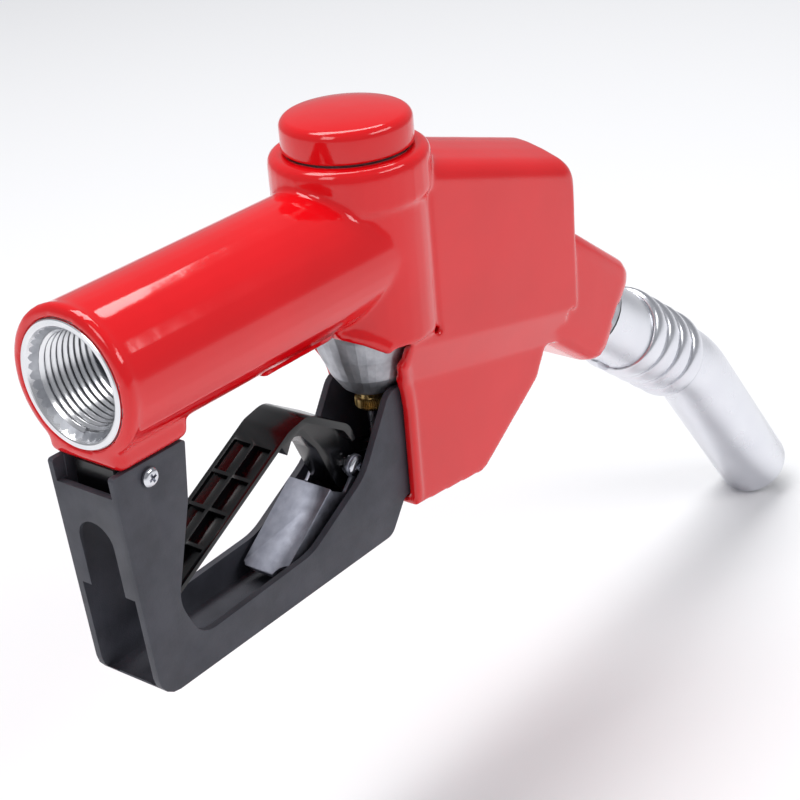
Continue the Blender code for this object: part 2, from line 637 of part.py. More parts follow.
def path_tangents(points):
    tangents = []
    for index in range(len(points)):
        before = points[max(index - 1, 0)]
        after = points[min(index + 1, len(points) - 1)]
        tangents.append((after - before).normalized())
    return tangents


def swept_ring(centre, tangent, radius, sides=32):
    up = Vector((-tangent.z, 0, tangent.x))
    return [centre + radius * (math.cos(math.tau * side / sides) * AXIS_Y
                               + math.sin(math.tau * side / sides) * up)
            for side in range(sides)]


def swept(name, points, radii, material=None):
    tangents = path_tangents(points)
    tangents[0] = SPOUT_AXIS
    tangents[2] = SPOUT_AXIS
    tangents[-1] = spout_end_axis()
    rings = [swept_ring(point, tangent, radius)
             for point, tangent, radius in zip(points, tangents, radii)]
    return loft(name, rings, material)


def build_spout(aluminium, steel, rubber, plastic):
    points = spout_path()
    tip_round = 2.5 * MM
    outer_points = points[:-1] + [points[-1] - spout_end_axis() * tip_round, points[-1]]
    outer_radii = [SPOUT_R] * (len(points)) + [SPOUT_R - tip_round * 0.6]
    spout = swept("spout_tube", outer_points, outer_radii, aluminium)
    inner_points = [points[0] - SPOUT_AXIS * 5 * MM] + points[1:-1]
    inner_points.append(points[-1] + spout_end_axis() * 5 * MM)
    bore = swept("cut_spout_bore", inner_points, [SPOUT_R - SPOUT_WALL] * len(inner_points))
    cut(spout, bore)

    # the ridged anchor spring wound on the tube
    curve = bpy.data.curves.new("ridge_section", "CURVE")
    curve.dimensions = "2D"
    section = curve.splines.new("POLY")
    shape = [(-RIDGE_WIDTH / 2, 0), (-RIDGE_WIDTH * 0.3, RIDGE_HEIGHT * 0.8), (0, RIDGE_HEIGHT),
             (RIDGE_WIDTH * 0.3, RIDGE_HEIGHT * 0.8), (RIDGE_WIDTH / 2, 0)]
    section.points.add(len(shape) - 1)
    for point, (along, height) in zip(section.points, shape):
        point.co = (height, along, 0, 1)
    section.use_cyclic_u = True
    guide = bpy.data.objects.new("ridge_section", curve)
    cutters.objects.link(guide)
    helix = bpy.data.curves.new("spout_spring", "CURVE")
    helix.dimensions = "3D"
    helix.twist_mode = "Z_UP"
    helix.bevel_mode = "OBJECT"
    helix.bevel_object = guide
    helix.use_fill_caps = True
    per_turn = 16
    count = int(RIDGE_TURNS * per_turn)
    spline = helix.splines.new("POLY")
    spline.points.add(count)
    radius = (SPOUT_R + GAP) / math.cos(math.pi / per_turn)
    for index, point in enumerate(spline.points):
        angle = math.tau * index / per_turn
        point.co = (radius * math.cos(angle), radius * math.sin(angle),
                    RIDGE_PITCH * index / per_turn, 1)
    start = spout_point(SPOUT_LENGTH_1 - RIDGE_PITCH * RIDGE_TURNS - 6 * MM)
    from_curve("spout_spring", helix, Matrix.Translation(start) @ rotation_to(SPOUT_AXIS), steel)
    bpy.data.objects.remove(guide, do_unlink=True)

    # fuel-sensing tube along the bottom of the bore
    inset = SPOUT_R - SPOUT_WALL - 2.0 * MM - 1.6 * MM
    tangents = path_tangents(points)
    line = [point - Vector((-tangent.z, 0, tangent.x)) * inset
            for point, tangent in zip(points, tangents)]
    line[-1] -= spout_end_axis() * 22 * MM
    line[0] += SPOUT_AXIS * 24 * MM
    wire_path("sensing_tube", line, 1.6 * MM, plastic)

    # check valve in the throat behind the spout
    seat = spout_point(-SPOUT_SEAT - 6 * MM)
    throat = SPOUT_R - 2.5 * MM - GAP
    tube("check_seat", throat, throat - 3 * MM, 2.5 * MM, -2.5 * MM, seat, SPOUT_AXIS, aluminium,
         steps=SMALL_ROUND)
    poppet = spout_point(-SPOUT_SEAT - 6 * MM + 2.5 * MM + GAP)
    turned("check_poppet", [(0, 14 * MM), (1.8 * MM, 14 * MM), (1.8 * MM, 3 * MM),
                            (throat - 2 * MM, 2.4 * MM), (throat - 2 * MM, 0), (0, 0)],
           poppet, SPOUT_AXIS, plastic, steps=SMALL_ROUND)
    coil("check_spring", 3.6 * MM, 0.5 * MM, 4.5, 11 * MM, poppet + SPOUT_AXIS * 3.3 * MM,
         SPOUT_AXIS, steel)
    tube("spout_seal", SPOUT_R + GAP + 1.4 * MM, SPOUT_R + GAP, 1.2 * MM, -1.2 * MM,
         spout_point(-1.0 * MM + 2.4 * MM), SPOUT_AXIS, rubber)


# --- trip mechanism ----------------------------------------------------------------------
def build_trip(steel, cast, rubber, brass):
    x = TRIP_X
    plunger_top = DIAPHRAGM_Z - 10.5 * MM
    head = plunger_top - 2 * MM
    plunger = turned("trip_plunger", [(0, plunger_top), (TRIP_R + 2.5 * MM, plunger_top),
                                      (TRIP_R + 2.5 * MM, head), (TRIP_R, head),
                                      (TRIP_R, PIVOT_Z - 4.5 * MM), (0, PIVOT_Z - 4.5 * MM)],
                     (x, 0, 0), material=steel, steps=SMALL_ROUND)
    cut(plunger, rod("cut_plunger_pin", PIVOT_R + GAP, (x, -10 * MM, PIVOT_Z),
                     (x, 10 * MM, PIVOT_Z), sides=16),
        rod("cut_plunger_top", 1.6 * MM, (x, 0, plunger_top - 8 * MM),
            (x, 0, plunger_top + 2 * MM), sides=16))
    rod("lever_pivot_pin", PIVOT_R, (x, -FORK_HALF, PIVOT_Z), (x, FORK_HALF, PIVOT_Z), steel,
        sides=16)
    coil("plunger_spring", TRIP_R + 1.7 * MM, 0.5 * MM, 4.5, head + 17.8 * MM - GAP,
         (x, 0, -17.8 * MM), AXIS_Z, steel)
    for index in range(3):
        angle = math.tau * index / 3 + math.pi / 2
        bm = bmesh.new()
        bmesh.ops.create_uvsphere(bm, u_segments=12, v_segments=8, radius=1.5 * MM)
        ball = add_object(f"latch_ball_{index + 1}", mesh_from("latch_ball", bm), steel)
        place(ball, (x + 3.6 * MM * math.cos(angle), 3.6 * MM * math.sin(angle),
                     plunger_top + 1.8 * MM))
    rod("latch_pin", 1.3 * MM, (x, 0, plunger_top - 6 * MM), (x, 0, DIAPHRAGM_Z - 1.4 * MM), steel,
        sides=16)
    turned("diaphragm", [(0, 1.2 * MM), (DIAPHRAGM_R - 4 * MM, 1.2 * MM),
                         (DIAPHRAGM_R, 1.2 * MM), (DIAPHRAGM_R, 0), (DIAPHRAGM_R - 4 * MM, 0),
                         (DIAPHRAGM_R - 6 * MM, -1.4 * MM), (0, -1.4 * MM)],
           (x, 0, DIAPHRAGM_Z + GAP), material=rubber)
    cover_base = DIAPHRAGM_Z + 1.2 * MM + 2 * GAP
    rim = DIAPHRAGM_R
    top = ridge_z(TRIP_OFFSET) - ROOF_FALL - BODY_WALL - 2.6 * MM
    turned("diaphragm_cover", [(0, top), (rim - 3 * MM, top), (rim - 1 * MM, top - 3 * MM),
                               (rim, cover_base + 3 * MM), (rim, cover_base),
                               (rim - 4 * MM, cover_base), (rim - 4 * MM, top - 3 * MM),
                               (0, top - 2 * MM)], (x, 0, 0), material=cast)
    coil("diaphragm_spring", 5.0 * MM, 0.4 * MM, 2.5, top - 2.6 * MM - cover_base - 0.4 * MM,
         (x, 0, cover_base), AXIS_Z, steel)
    for index in range(4):
        angle = math.tau * index / 4 + math.pi / 4
        rod(f"diaphragm_screw_{index + 1}", 1.3 * MM,
            (x + (rim - 1.9 * MM) * math.cos(angle), (rim - 1.9 * MM) * math.sin(angle),
             top + GAP),
            (x + (rim - 1.9 * MM) * math.cos(angle), (rim - 1.9 * MM) * math.sin(angle),
             top + 1.2 * MM), steel, sides=12)


# --- lever, hold-open clip and guard ------------------------------------------------------
def bar_point(along, depth=0.0):
    """A point (x, z) of the finger bar, measured along its top edge and down from it."""
    return (BAR_X + along * math.cos(BAR_SLOPE) + depth * math.sin(BAR_SLOPE),
            BAR_Z + along * math.sin(BAR_SLOPE) - depth * math.cos(BAR_SLOPE))


def lever_outline():
    """Side outline of the lever: finger bar, arch, cheek and forward arm."""
    v = VALVE_X
    return rounded([
        (*bar_point(-1 * MM), 2 * MM),
        (*bar_point(BAR_LENGTH), 8 * MM),
        (v - 41.5 * MM, -43.8 * MM, 8 * MM),
        (v - 22.5 * MM, -55.2 * MM, 8 * MM),
        (v - 17.5 * MM, -69.3 * MM, 4 * MM),
        (v + 4 * MM, -74.0 * MM, 3 * MM),
        (v + 46 * MM, -73.8 * MM, 4 * MM),
        (v + 46 * MM, -83.4 * MM, 4 * MM),
        (v + 34 * MM, -83.4 * MM, 3 * MM),
        (v + 2 * MM, -80.6 * MM, 6 * MM),
        (v - 16 * MM, -79.0 * MM, 4 * MM),
        (v - 26.5 * MM, -78.0 * MM, 3 * MM),
        (v - 34.5 * MM, -60.0 * MM, 6 * MM),
        (v - 42 * MM, -51.0 * MM, 6 * MM),
        (*bar_point(BAR_LENGTH - 2 * MM, BAR_DEPTH), 3 * MM),
        (*bar_point(-2 * MM, BAR_DEPTH), 3 * MM),
    ])


def bar_cutter(name, section, start, end):
    """A prism along the finger bar; section points are (y, depth below the top edge)."""
    rings = []
    for along in (start, end):
        ring = []
        for y, depth in section:
            x, z = bar_point(along, depth)
            ring.append((x, y, z))
        rings.append(ring)
    return loft(name, rings)


def build_lever(black, steel):
    v = VALVE_X
    lever = outline_solid("lever", lever_outline(), LEVER_HALF_WIDTH, black)
    inner = LEVER_HALF_WIDTH - LEVER_RAIL
    cuts = []
    for side in (-1, 1):
        # open pockets along the finger bar, either side of the centre rib
        for index in range(POCKETS):
            start = POCKET_START + index * POCKET_PITCH
            section = [(side * POCKET_RIB, -3 * MM), (side * inner, -3 * MM),
                       (side * inner, POCKET_DEPTH * 0.5), (side * inner * 0.72, POCKET_DEPTH),
                       (side * POCKET_RIB, POCKET_DEPTH)]
            cuts.append(bar_cutter(f"cut_pocket_{index}_{side}", section, start,
                                   start + POCKET_PITCH - POCKET_CROSS_RIB))
        # the underside slopes in from the rails to a narrower spine
        under = [(side * (LEVER_HALF_WIDTH + 2 * MM), RAIL_HEIGHT),
                 (side * LEVER_HALF_WIDTH, RAIL_HEIGHT),
                 (side * CHEEK_HALF_WIDTH, BAR_DEPTH - 0.6 * MM),
                 (side * CHEEK_HALF_WIDTH, BAR_DEPTH + 6 * MM),
                 (side * (LEVER_HALF_WIDTH + 2 * MM), BAR_DEPTH + 6 * MM)]
        cuts.append(bar_cutter(f"cut_under_{side}", under, -6 * MM, BAR_LENGTH - 5 * MM))
        # the cheeks and the forward arm are narrower than the arch's rim
        cuts.append(outline_solid(f"cut_cheek_{side}", rounded([
            (v - 57 * MM, -60 * MM, 0), (v - 50 * MM, -48.9 * MM, 3 * MM),
            (v - 46 * MM, -47.2 * MM, 4 * MM), (v - 41.5 * MM, -46.6 * MM, 5 * MM),
            (v - 25.5 * MM, -56.2 * MM, 5 * MM), (v - 22 * MM, -61.5 * MM, 0),
            (v - 10 * MM, -61.5 * MM, 0), (v + 30 * MM, -66 * MM, 0),
            (v + 30 * MM, -95 * MM, 0), (v - 30 * MM, -95 * MM, 0)], 3), 5 * MM,
            y=side * (CHEEK_HALF_WIDTH + 5 * MM)))
    fork = block("cut_fork", (v + 32 * MM, -TRIP_R - 0.8 * MM, -110 * MM),
                 (v + 60 * MM, TRIP_R + 0.8 * MM, -60 * MM))
    recess = block("cut_pad", (v - PAD_HALF - GAP, -PAD_WIDTH / 2 - GAP, STEM_BOTTOM - 3.4 * MM),
                   (v + PAD_HALF + GAP, PAD_WIDTH / 2 + GAP, -60 * MM))
    pivot = rod("cut_lever_pivot", PIVOT_R + GAP, (TRIP_X, -20 * MM, PIVOT_Z),
                (TRIP_X, 20 * MM, PIVOT_Z), sides=16)
    hub = rod("cut_clip_pin", CLIP_PIN_R + GAP, (v + CLIP_DX, -20 * MM, CLIP_Z),
              (v + CLIP_DX, 20 * MM, CLIP_Z), sides=16)
    cut(lever, *cuts, fork, recess, pivot, hub)
    block("wear_plate", (v - PAD_HALF, -PAD_WIDTH / 2, STEM_BOTTOM - 3.1 * MM),
          (v + PAD_HALF, PAD_WIDTH / 2, STEM_BOTTOM - GAP), steel, bevel=0.3 * MM)
    return lever


def build_clip(steel, bright):
    """Bent sheet clip that props the lever on the guard's rack."""
    hub = Vector((VALVE_X + CLIP_DX, 0, CLIP_Z))
    along = Vector((-math.cos(CLIP_PITCH), 0, -math.sin(CLIP_PITCH)))
    up = Vector((along.z, 0, -along.x))
    frame = Matrix.Translation(hub) @ Matrix((along, -AXIS_Y, up)).transposed().to_4x4()
    outside = CLIP_INSIDE + CLIP_SHEET
    clip = block("hold_open_clip", (CLIP_WEB_START, -outside, CLIP_WEB - CLIP_SHEET),
                 (CLIP_LENGTH, outside, CLIP_WEB), steel, matrix=frame)
    additions = []
    for side in (-1, 1):
        y0, y1 = sorted((side * CLIP_INSIDE, side * outside))
        arm = outline_solid(f"add_clip_arm_{side}", rounded([
            (-2.8 * MM, -3 * MM, 0), (-1.5 * MM, -6.5 * MM, 2 * MM), (5 * MM, -8.4 * MM, 3 * MM),
            (11 * MM, -8.0 * MM, 3 * MM), (17 * MM, -6 * MM, 3 * MM), (31 * MM, 0.7 * MM, 4 * MM),
            (40 * MM, CLIP_WEB - 0.4 * MM, 0), (12.6 * MM, CLIP_WEB - 0.3 * MM, 1 * MM),
            (9.4 * MM, -2 * MM, 1 * MM), (3 * MM, -1 * MM, 0)], 3), CLIP_SHEET / 2)
        arm.matrix_world = frame @ Matrix.Translation((0, (y0 + y1) / 2, 0))
        eye = rod(f"add_clip_eye_{side}", CLIP_EYE_R, hub + AXIS_Y * (y0 + 0.02 * MM),
                  hub + AXIS_Y * (y1 - 0.02 * MM), sides=20)
        additions += [arm, eye]
    lip = block("add_clip_lip", (CLIP_LENGTH - 1.3 * MM, -outside * 0.7, 2.7 * MM),
                (CLIP_LENGTH + 0.1 * MM, outside * 0.7, CLIP_WEB - 0.2 * MM), matrix=frame)
    join(clip, *additions, lip)
    corners = []
    for side, radius in ((-1, 2.5 * MM), (1, 5.5 * MM)):
        at = Vector((CLIP_LENGTH + 1 * MM, side * (outside + 1 * MM), 0))
        corners.append(rod(f"cut_clip_corner_{side}", radius, frame @ (at - AXIS_Z * 8 * MM),
                           frame @ (at + AXIS_Z * 8 * MM)))
    cut(clip, *corners, rod("cut_clip_eye", CLIP_PIN_R + GAP, hub - AXIS_Y * 20 * MM,
                            hub + AXIS_Y * 20 * MM, sides=16))
    outer = outside + GAP
    pin = rod("clip_pin", CLIP_PIN_R, hub - AXIS_Y * (outer + 0.5 * MM),
              hub + AXIS_Y * (outer + 0.5 * MM), bright, sides=16)
    heads = []
    for side in (-1, 1):
        start = hub + AXIS_Y * side * outer
        heads.append(rod(f"add_pin_head_{side}", 3.4 * MM, start,
                         start + AXIS_Y * side * 0.9 * MM, sides=20))
    join(pin, *heads)
    coil("clip_spring", CLIP_PIN_R + 1.1 * MM, 0.3 * MM, 1.5,
         CLIP_INSIDE - CHEEK_HALF_WIDTH - 2 * GAP,
         hub - AXIS_Y * (CLIP_INSIDE - GAP), AXIS_Y, steel)


def guard_outline():
    v = VALVE_X
    return rounded([
        (GUARD_REAR, GUARD_TOP, 1 * MM), (28 * MM, GUARD_TOP, 1 * MM),
        (26 * MM, -45 * MM, 4 * MM), (17.0 * MM, -76 * MM, 12 * MM),
        (24 * MM, -91.5 * MM, 9 * MM),
        (v - 50 * MM, -88.5 * MM, 20 * MM), (v - 22 * MM, -73.5 * MM, 20 * MM),
        (v - 6 * MM, -49 * MM, 6 * MM),
        (v + 61 * MM, -60 * MM, 3 * MM), (v + 61 * MM, -77 * MM, 5 * MM),
        (v + 37 * MM, -92.6 * MM, 6 * MM), (v - 3 * MM, -89.8 * MM, 3 * MM),
        (v - 11 * MM, GUARD_FRONT_BOTTOM, 5 * MM),
        (5 * MM, GUARD_BOTTOM, 8 * MM)])


def build_guard(black, chrome):
    v = VALVE_X
    guard = outline_solid("lever_guard", guard_outline(), GUARD_HALF_WIDTH, black)
    inner = GUARD_HALF_WIDTH - GUARD_WALL
    wall = GUARD_WALL
    # the hollow: open to the hand, at the top of the rear post and at the front
    hollow = outline_solid("cut_guard_hollow", rounded([
        (GUARD_REAR + wall, 0, 0), (80 * MM, 0, 0), (v + 70 * MM, -30 * MM, 0),
        (v + 70 * MM, -90 * MM + wall, 0),
        (v + 36 * MM, -92.6 * MM + wall, 5 * MM),
        (v - 4 * MM, -89.8 * MM + wall, 3 * MM), (v - 12 * MM, GUARD_FRONT_BOTTOM + wall, 5 * MM),
        (7 * MM, GUARD_BOTTOM + wall, 6 * MM), (2.5 * MM, -97 * MM, 4 * MM)]), inner)
    slot = rod("cut_slot_top", SLOT_HALF_WIDTH, (-10 * MM, 0, SLOT_TOP - SLOT_HALF_WIDTH),
               (8 * MM, 0, SLOT_TOP - SLOT_HALF_WIDTH))
    slot_low = block("cut_slot", (-10 * MM, -SLOT_HALF_WIDTH, -120 * MM),
                     (7 * MM, SLOT_HALF_WIDTH, SLOT_TOP - SLOT_HALF_WIDTH))
    rear_top = block("cut_rear_top", (-10 * MM, -inner - 0.4 * MM, -33 * MM),
                     (3 * MM, inner + 0.4 * MM, -10 * MM))
    bolt = rod("cut_guard_bolt", BOLT_R + GAP, (BOLT_X, -30 * MM, BOLT_Z),
               (BOLT_X, 30 * MM, BOLT_Z), sides=16)
    front = rod("cut_guard_front_bolt", BOLT_R + GAP, (v + FRONT_BOLT_DX, -30 * MM, FRONT_BOLT_Z),
                (v + FRONT_BOLT_DX, 30 * MM, FRONT_BOLT_Z), sides=16)
    cut(guard, hollow, slot, slot_low, rear_top, bolt, front)
    # rack teeth on the channel floor, where the clip's foot hooks
    teeth = []
    rise = (GUARD_FRONT_BOTTOM - GUARD_BOTTOM) / (v - 16 * MM)
    for index in range(3):
        x = v - 50 * MM + index * 8 * MM
        floor = GUARD_BOTTOM + wall + rise * (x - 5 * MM)
        teeth.append(outline_solid(f"add_tooth_{index}", [
            (x, floor - 1 * MM), (x, floor + 2.2 * MM), (x + 3 * MM, floor + 2.2 * MM),
            (x + 7 * MM, floor - 1 * MM)], inner + 0.5 * MM))
    join(guard, *teeth)
    side = GUARD_HALF_WIDTH
    end = -2 * side - 1.6 * MM
    turned("guard_bolt", [(0, 1.5 * MM), (2.4 * MM, 1.4 * MM), (BOLT_HEAD_R, 0.6 * MM),
                          (BOLT_HEAD_R, 0), (BOLT_R, 0), (BOLT_R, end), (0, end)],
           (BOLT_X, -side - GAP, BOLT_Z), -AXIS_Y, chrome, steps=SMALL_ROUND)
    tube("guard_nut", BOLT_HEAD_R + 0.2 * MM, BOLT_R + GAP, 1.5 * MM, 0,
         (BOLT_X, side + GAP, BOLT_Z), AXIS_Y, chrome, steps=6)
    rod("guard_front_pin", BOLT_R, (v + FRONT_BOLT_DX, -side + GAP, FRONT_BOLT_Z),
        (v + FRONT_BOLT_DX, side - GAP, FRONT_BOLT_Z), chrome, sides=16)


def build_guard_mount(black):
    """Moulded block round the cast lug, clamped between the guard's walls."""
    mount = block("guard_mount", (GUARD_REAR + 5.5 * MM, -9 * MM, LUG_BOTTOM - 4 * MM),
                  (21 * MM, 9 * MM, GUARD_TOP), black, bevel=1 * MM)
    cut(mount, block("cut_mount_pocket", (LUG_X0 - GAP, -LUG_HALF - GAP, LUG_BOTTOM - GAP),
                     (LUG_X1 + GAP, LUG_HALF + GAP, 0)),
        rod("cut_mount_bolt", BOLT_R + GAP, (BOLT_X, -30 * MM, BOLT_Z), (BOLT_X, 30 * MM, BOLT_Z),
            sides=16))


clear_scene()
parts = new_collection("fuel_nozzle")
cutters = new_collection("cutters")

red_vinyl = make_material("red_vinyl", (0.74, 0.012, 0.015), 0.18)
cast_aluminium = make_material("cast_aluminium", (0.50, 0.51, 0.53), 0.45, 1.0)
spun_aluminium = make_material("satin_aluminium", (0.75, 0.76, 0.79), 0.32, 1.0)
spring_steel = make_material("spring_steel", (0.55, 0.56, 0.58), 0.3, 1.0)
brass_metal = make_material("brass", (0.62, 0.46, 0.22), 0.3, 1.0)
nitrile = make_material("nitrile_rubber", (0.02, 0.02, 0.02), 0.6)
acetal = make_material("acetal", (0.7, 0.7, 0.66), 0.4)
grained_black = make_material("grained_black_plastic", (0.05, 0.05, 0.06), 0.6)
gloss_black = make_material("gloss_black_plastic", (0.01, 0.01, 0.013), 0.25)
zinc_steel = make_material("zinc_plated_steel", (0.45, 0.46, 0.5), 0.4, 1.0)
chrome_steel = make_material("chromed_steel", (0.8, 0.8, 0.82), 0.12, 1.0)

build_casting(cast_aluminium)
build_cover(red_vinyl)
build_valve(spring_steel, brass_metal, nitrile, red_vinyl, cast_aluminium)
build_inlet(spring_steel)
build_spout(spun_aluminium, spring_steel, nitrile, acetal)
build_trip(spring_steel, cast_aluminium, nitrile, brass_metal)
build_lever(gloss_black, spring_steel)
build_clip(zinc_steel, chrome_steel)
build_guard(grained_black, chrome_steel)
build_guard_mount(gloss_black)
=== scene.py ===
# %% [markdown]
# # A fuel nozzle, dressed around its CAD frame
# A fuel nozzle is a cast aluminium valve body in a thick red vinyl cover, with a plastic lever
# inside a plastic guard and an aluminium spout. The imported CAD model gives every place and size.
# This script makes the pieces that show, finishes them, and leaves the hidden ones as they are.

# %% Load the frame
import json
import math

import bmesh
import bpy
from mathutils import Matrix, Vector
from mathutils.bvhtree import BVHTree

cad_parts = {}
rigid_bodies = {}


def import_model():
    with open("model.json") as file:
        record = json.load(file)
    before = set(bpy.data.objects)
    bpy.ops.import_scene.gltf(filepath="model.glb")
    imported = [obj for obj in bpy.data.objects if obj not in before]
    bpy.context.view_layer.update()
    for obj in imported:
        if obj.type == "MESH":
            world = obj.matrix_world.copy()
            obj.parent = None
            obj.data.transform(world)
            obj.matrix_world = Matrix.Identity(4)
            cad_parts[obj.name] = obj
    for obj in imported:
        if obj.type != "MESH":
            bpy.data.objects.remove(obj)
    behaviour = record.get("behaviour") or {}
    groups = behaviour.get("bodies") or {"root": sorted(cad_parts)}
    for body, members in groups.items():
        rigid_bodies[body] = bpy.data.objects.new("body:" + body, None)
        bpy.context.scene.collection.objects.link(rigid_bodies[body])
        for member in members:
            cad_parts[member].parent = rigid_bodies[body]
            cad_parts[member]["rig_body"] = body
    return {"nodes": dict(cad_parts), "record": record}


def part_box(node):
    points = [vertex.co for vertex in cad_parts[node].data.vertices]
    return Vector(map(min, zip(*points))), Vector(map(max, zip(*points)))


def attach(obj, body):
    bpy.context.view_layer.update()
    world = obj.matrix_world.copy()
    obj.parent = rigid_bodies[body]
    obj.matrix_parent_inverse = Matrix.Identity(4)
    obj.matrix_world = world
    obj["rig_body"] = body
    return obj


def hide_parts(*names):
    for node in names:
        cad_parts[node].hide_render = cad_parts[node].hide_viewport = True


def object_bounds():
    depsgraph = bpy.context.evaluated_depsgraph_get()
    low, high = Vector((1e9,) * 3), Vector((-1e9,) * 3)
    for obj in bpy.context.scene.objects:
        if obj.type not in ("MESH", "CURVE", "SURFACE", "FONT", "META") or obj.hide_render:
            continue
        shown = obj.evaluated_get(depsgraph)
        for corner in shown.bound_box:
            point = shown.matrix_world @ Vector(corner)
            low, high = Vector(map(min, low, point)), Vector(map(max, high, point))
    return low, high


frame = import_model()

cad_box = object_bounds()
nodes = frame["nodes"]
scene = bpy.context.scene
MM = 0.001
X, Y, Z = Vector((1, 0, 0)), Vector((0, 1, 0)), Vector((0, 0, 1))
slot_of = {part["node"]: part["material_slot"] for part in frame["record"]["subparts"]}
print("the CAD box in mm:", [round(v / MM, 1) for corner in cad_box for v in corner])

# %% [markdown]
# The camera comes first, because every later look depends on it. A lens of 94 mm on a 36 mm
# sensor stands about 0.7 m away, behind the nozzle, to the right of it and above. Its place and
# its three turns (yaw, pitch, roll) say all there is to say about the view.

# %% Camera
CAMERA_PLACE = Vector((-0.341343, -0.418100, 0.242739))
CAMERA_YAW, CAMERA_PITCH, CAMERA_ROLL = 0.715, 0.449, 0.088
CAMERA_LENS = 93.87


def camera_frame(place, yaw, pitch, roll):
    ahead = Vector((math.cos(yaw) * math.cos(pitch), math.sin(yaw) * math.cos(pitch),
                    -math.sin(pitch)))
    right = Vector((math.sin(yaw), -math.cos(yaw), 0))
    matrix = Matrix((right, right.cross(ahead), -ahead)).transposed().to_4x4()
    matrix = matrix @ Matrix.Rotation(-roll, 4, "Z")
    matrix.translation = place
    return matrix


camera = bpy.data.objects.new("camera", bpy.data.cameras.new("camera"))
camera.data.lens = CAMERA_LENS
camera.data.sensor_width = 36
camera.data.clip_start = 0.01
camera.matrix_world = camera_frame(CAMERA_PLACE, CAMERA_YAW, CAMERA_PITCH, CAMERA_ROLL)
scene.collection.objects.link(camera)
scene.camera = camera
scene.view_settings.view_transform = "Standard"

# %% [markdown]
# Colours are written as the hex values a painter or a web page uses. Blender's shaders want
# linear light, so one function does the turning.

# %% Colour and node helpers
def linear(hex_colour):
    """An sRGB hex colour as linear red, green, blue and alpha."""
    parts = [int(hex_colour[i:i + 2], 16) / 255 for i in (1, 3, 5)]
    return (*[p / 12.92 if p <= 0.04045 else ((p + 0.055) / 1.055) ** 2.4 for p in parts], 1.0)


def add_node(tree, kind, inputs=None, **settings):
    """One node with its settings; inputs are plain values, or sockets to link from."""
    made = tree.nodes.new(kind)
    for name, value in settings.items():
        setattr(made, name, value)
    for name, value in (inputs or {}).items():
        if isinstance(value, bpy.types.NodeSocket):
            tree.links.new(value, made.inputs[name])
        else:
            made.inputs[name].default_value = value
    return made


def new_finish(name, **sockets):
    """A material whose constant values sit on the shader's own sockets."""
    material = bpy.data.materials.new(name)
    material.use_nodes = True
    shader = material.node_tree.nodes["Principled BSDF"]
    for socket, value in sockets.items():
        shader.inputs[socket.replace("_", " ")].default_value = value
    return material, material.node_tree, shader


def pattern_space(tree, stretch=(1, 1, 1), turn=(0, 0, 0), centre=(0, 0, 0)):
    """Object coordinates, centred, turned and stretched for a pattern."""
    place = add_node(tree, "ShaderNodeTexCoord")
    return add_node(tree, "ShaderNodeMapping", {"Vector": place.outputs["Object"],
                                                "Location": centre, "Rotation": turn,
                                                "Scale": stretch}).outputs["Vector"]


def mottle(tree, space, size, light, dark, detail=3.0, low=0.35, high=0.65):
    """Colour that drifts between two hex values over patches of a real size."""
    noise = add_node(tree, "ShaderNodeTexNoise", {"Vector": space, "Scale": 1 / size,
                                                  "Detail": detail, "Roughness": 0.55})
    ramp = add_node(tree, "ShaderNodeValToRGB", {"Fac": noise.outputs["Fac"]})
    ramp.color_ramp.elements[0].position = low
    ramp.color_ramp.elements[0].color = linear(dark)
    ramp.color_ramp.elements[1].position = high
    ramp.color_ramp.elements[1].color = linear(light)
    return ramp.outputs["Color"]


def drift(tree, space, size, low, high, detail=2.0):
    """A value that drifts between low and high over patches of a real size."""
    noise = add_node(tree, "ShaderNodeTexNoise", {"Vector": space, "Scale": 1 / size,
                                                  "Detail": detail, "Roughness": 0.5})
    spread = add_node(tree, "ShaderNodeMapRange", {"Value": noise.outputs["Fac"],
                                                   "From Min": 0.3, "From Max": 0.7,
                                                   "To Min": low, "To Max": high})
    return spread.outputs["Result"]


def relief(tree, height, depth, strength=1.0, under=None):
    """A bump of a real depth, laid over another bump if there is one."""
    inputs = {"Height": height, "Distance": depth, "Strength": strength}
    if under is not None:
        inputs["Normal"] = under
    return add_node(tree, "ShaderNodeBump", inputs).outputs["Normal"]


# %% [markdown]
# The cover is plasticised PVC, dip-moulded: a hot former is lowered into liquid vinyl and lifted
# out, so the skin is thick, glossy and faintly rippled where it ran down. Its ripples are a
# stretched noise, long in Z and a few millimetres apart, and the gloss comes from the clear
# resin at the top, with an IOR of 1.53.

# %% Finish: red dip-moulded vinyl
def make_red_vinyl():
    material, tree, shader = new_finish("red_dip_moulded_vinyl", IOR=1.53, Specular_IOR_Level=0.5,
                                        Coat_Weight=0.15, Coat_Roughness=0.04, Coat_IOR=1.5)
    space = pattern_space(tree)
    runs = pattern_space(tree, stretch=(1, 1, 0.09))
    colour = mottle(tree, space, 45 * MM, "#ea0b16", "#df0610", low=0.3, high=0.7)
    tree.links.new(colour, shader.inputs["Base Color"])
    tree.links.new(drift(tree, space, 18 * MM, 0.08, 0.13), shader.inputs["Roughness"])
    ripple = add_node(tree, "ShaderNodeTexNoise", {"Vector": runs, "Scale": 1 / (5 * MM),
                                                   "Detail": 2.0, "Roughness": 0.5})
    swell = add_node(tree, "ShaderNodeTexNoise", {"Vector": space, "Scale": 1 / (26 * MM),
                                                  "Detail": 1.0})
    first = relief(tree, swell.outputs["Fac"], 0.5 * MM, 0.5)
    tree.links.new(relief(tree, ripple.outputs["Fac"], 0.12 * MM, 0.45, first),
                   shader.inputs["Normal"])
    return material


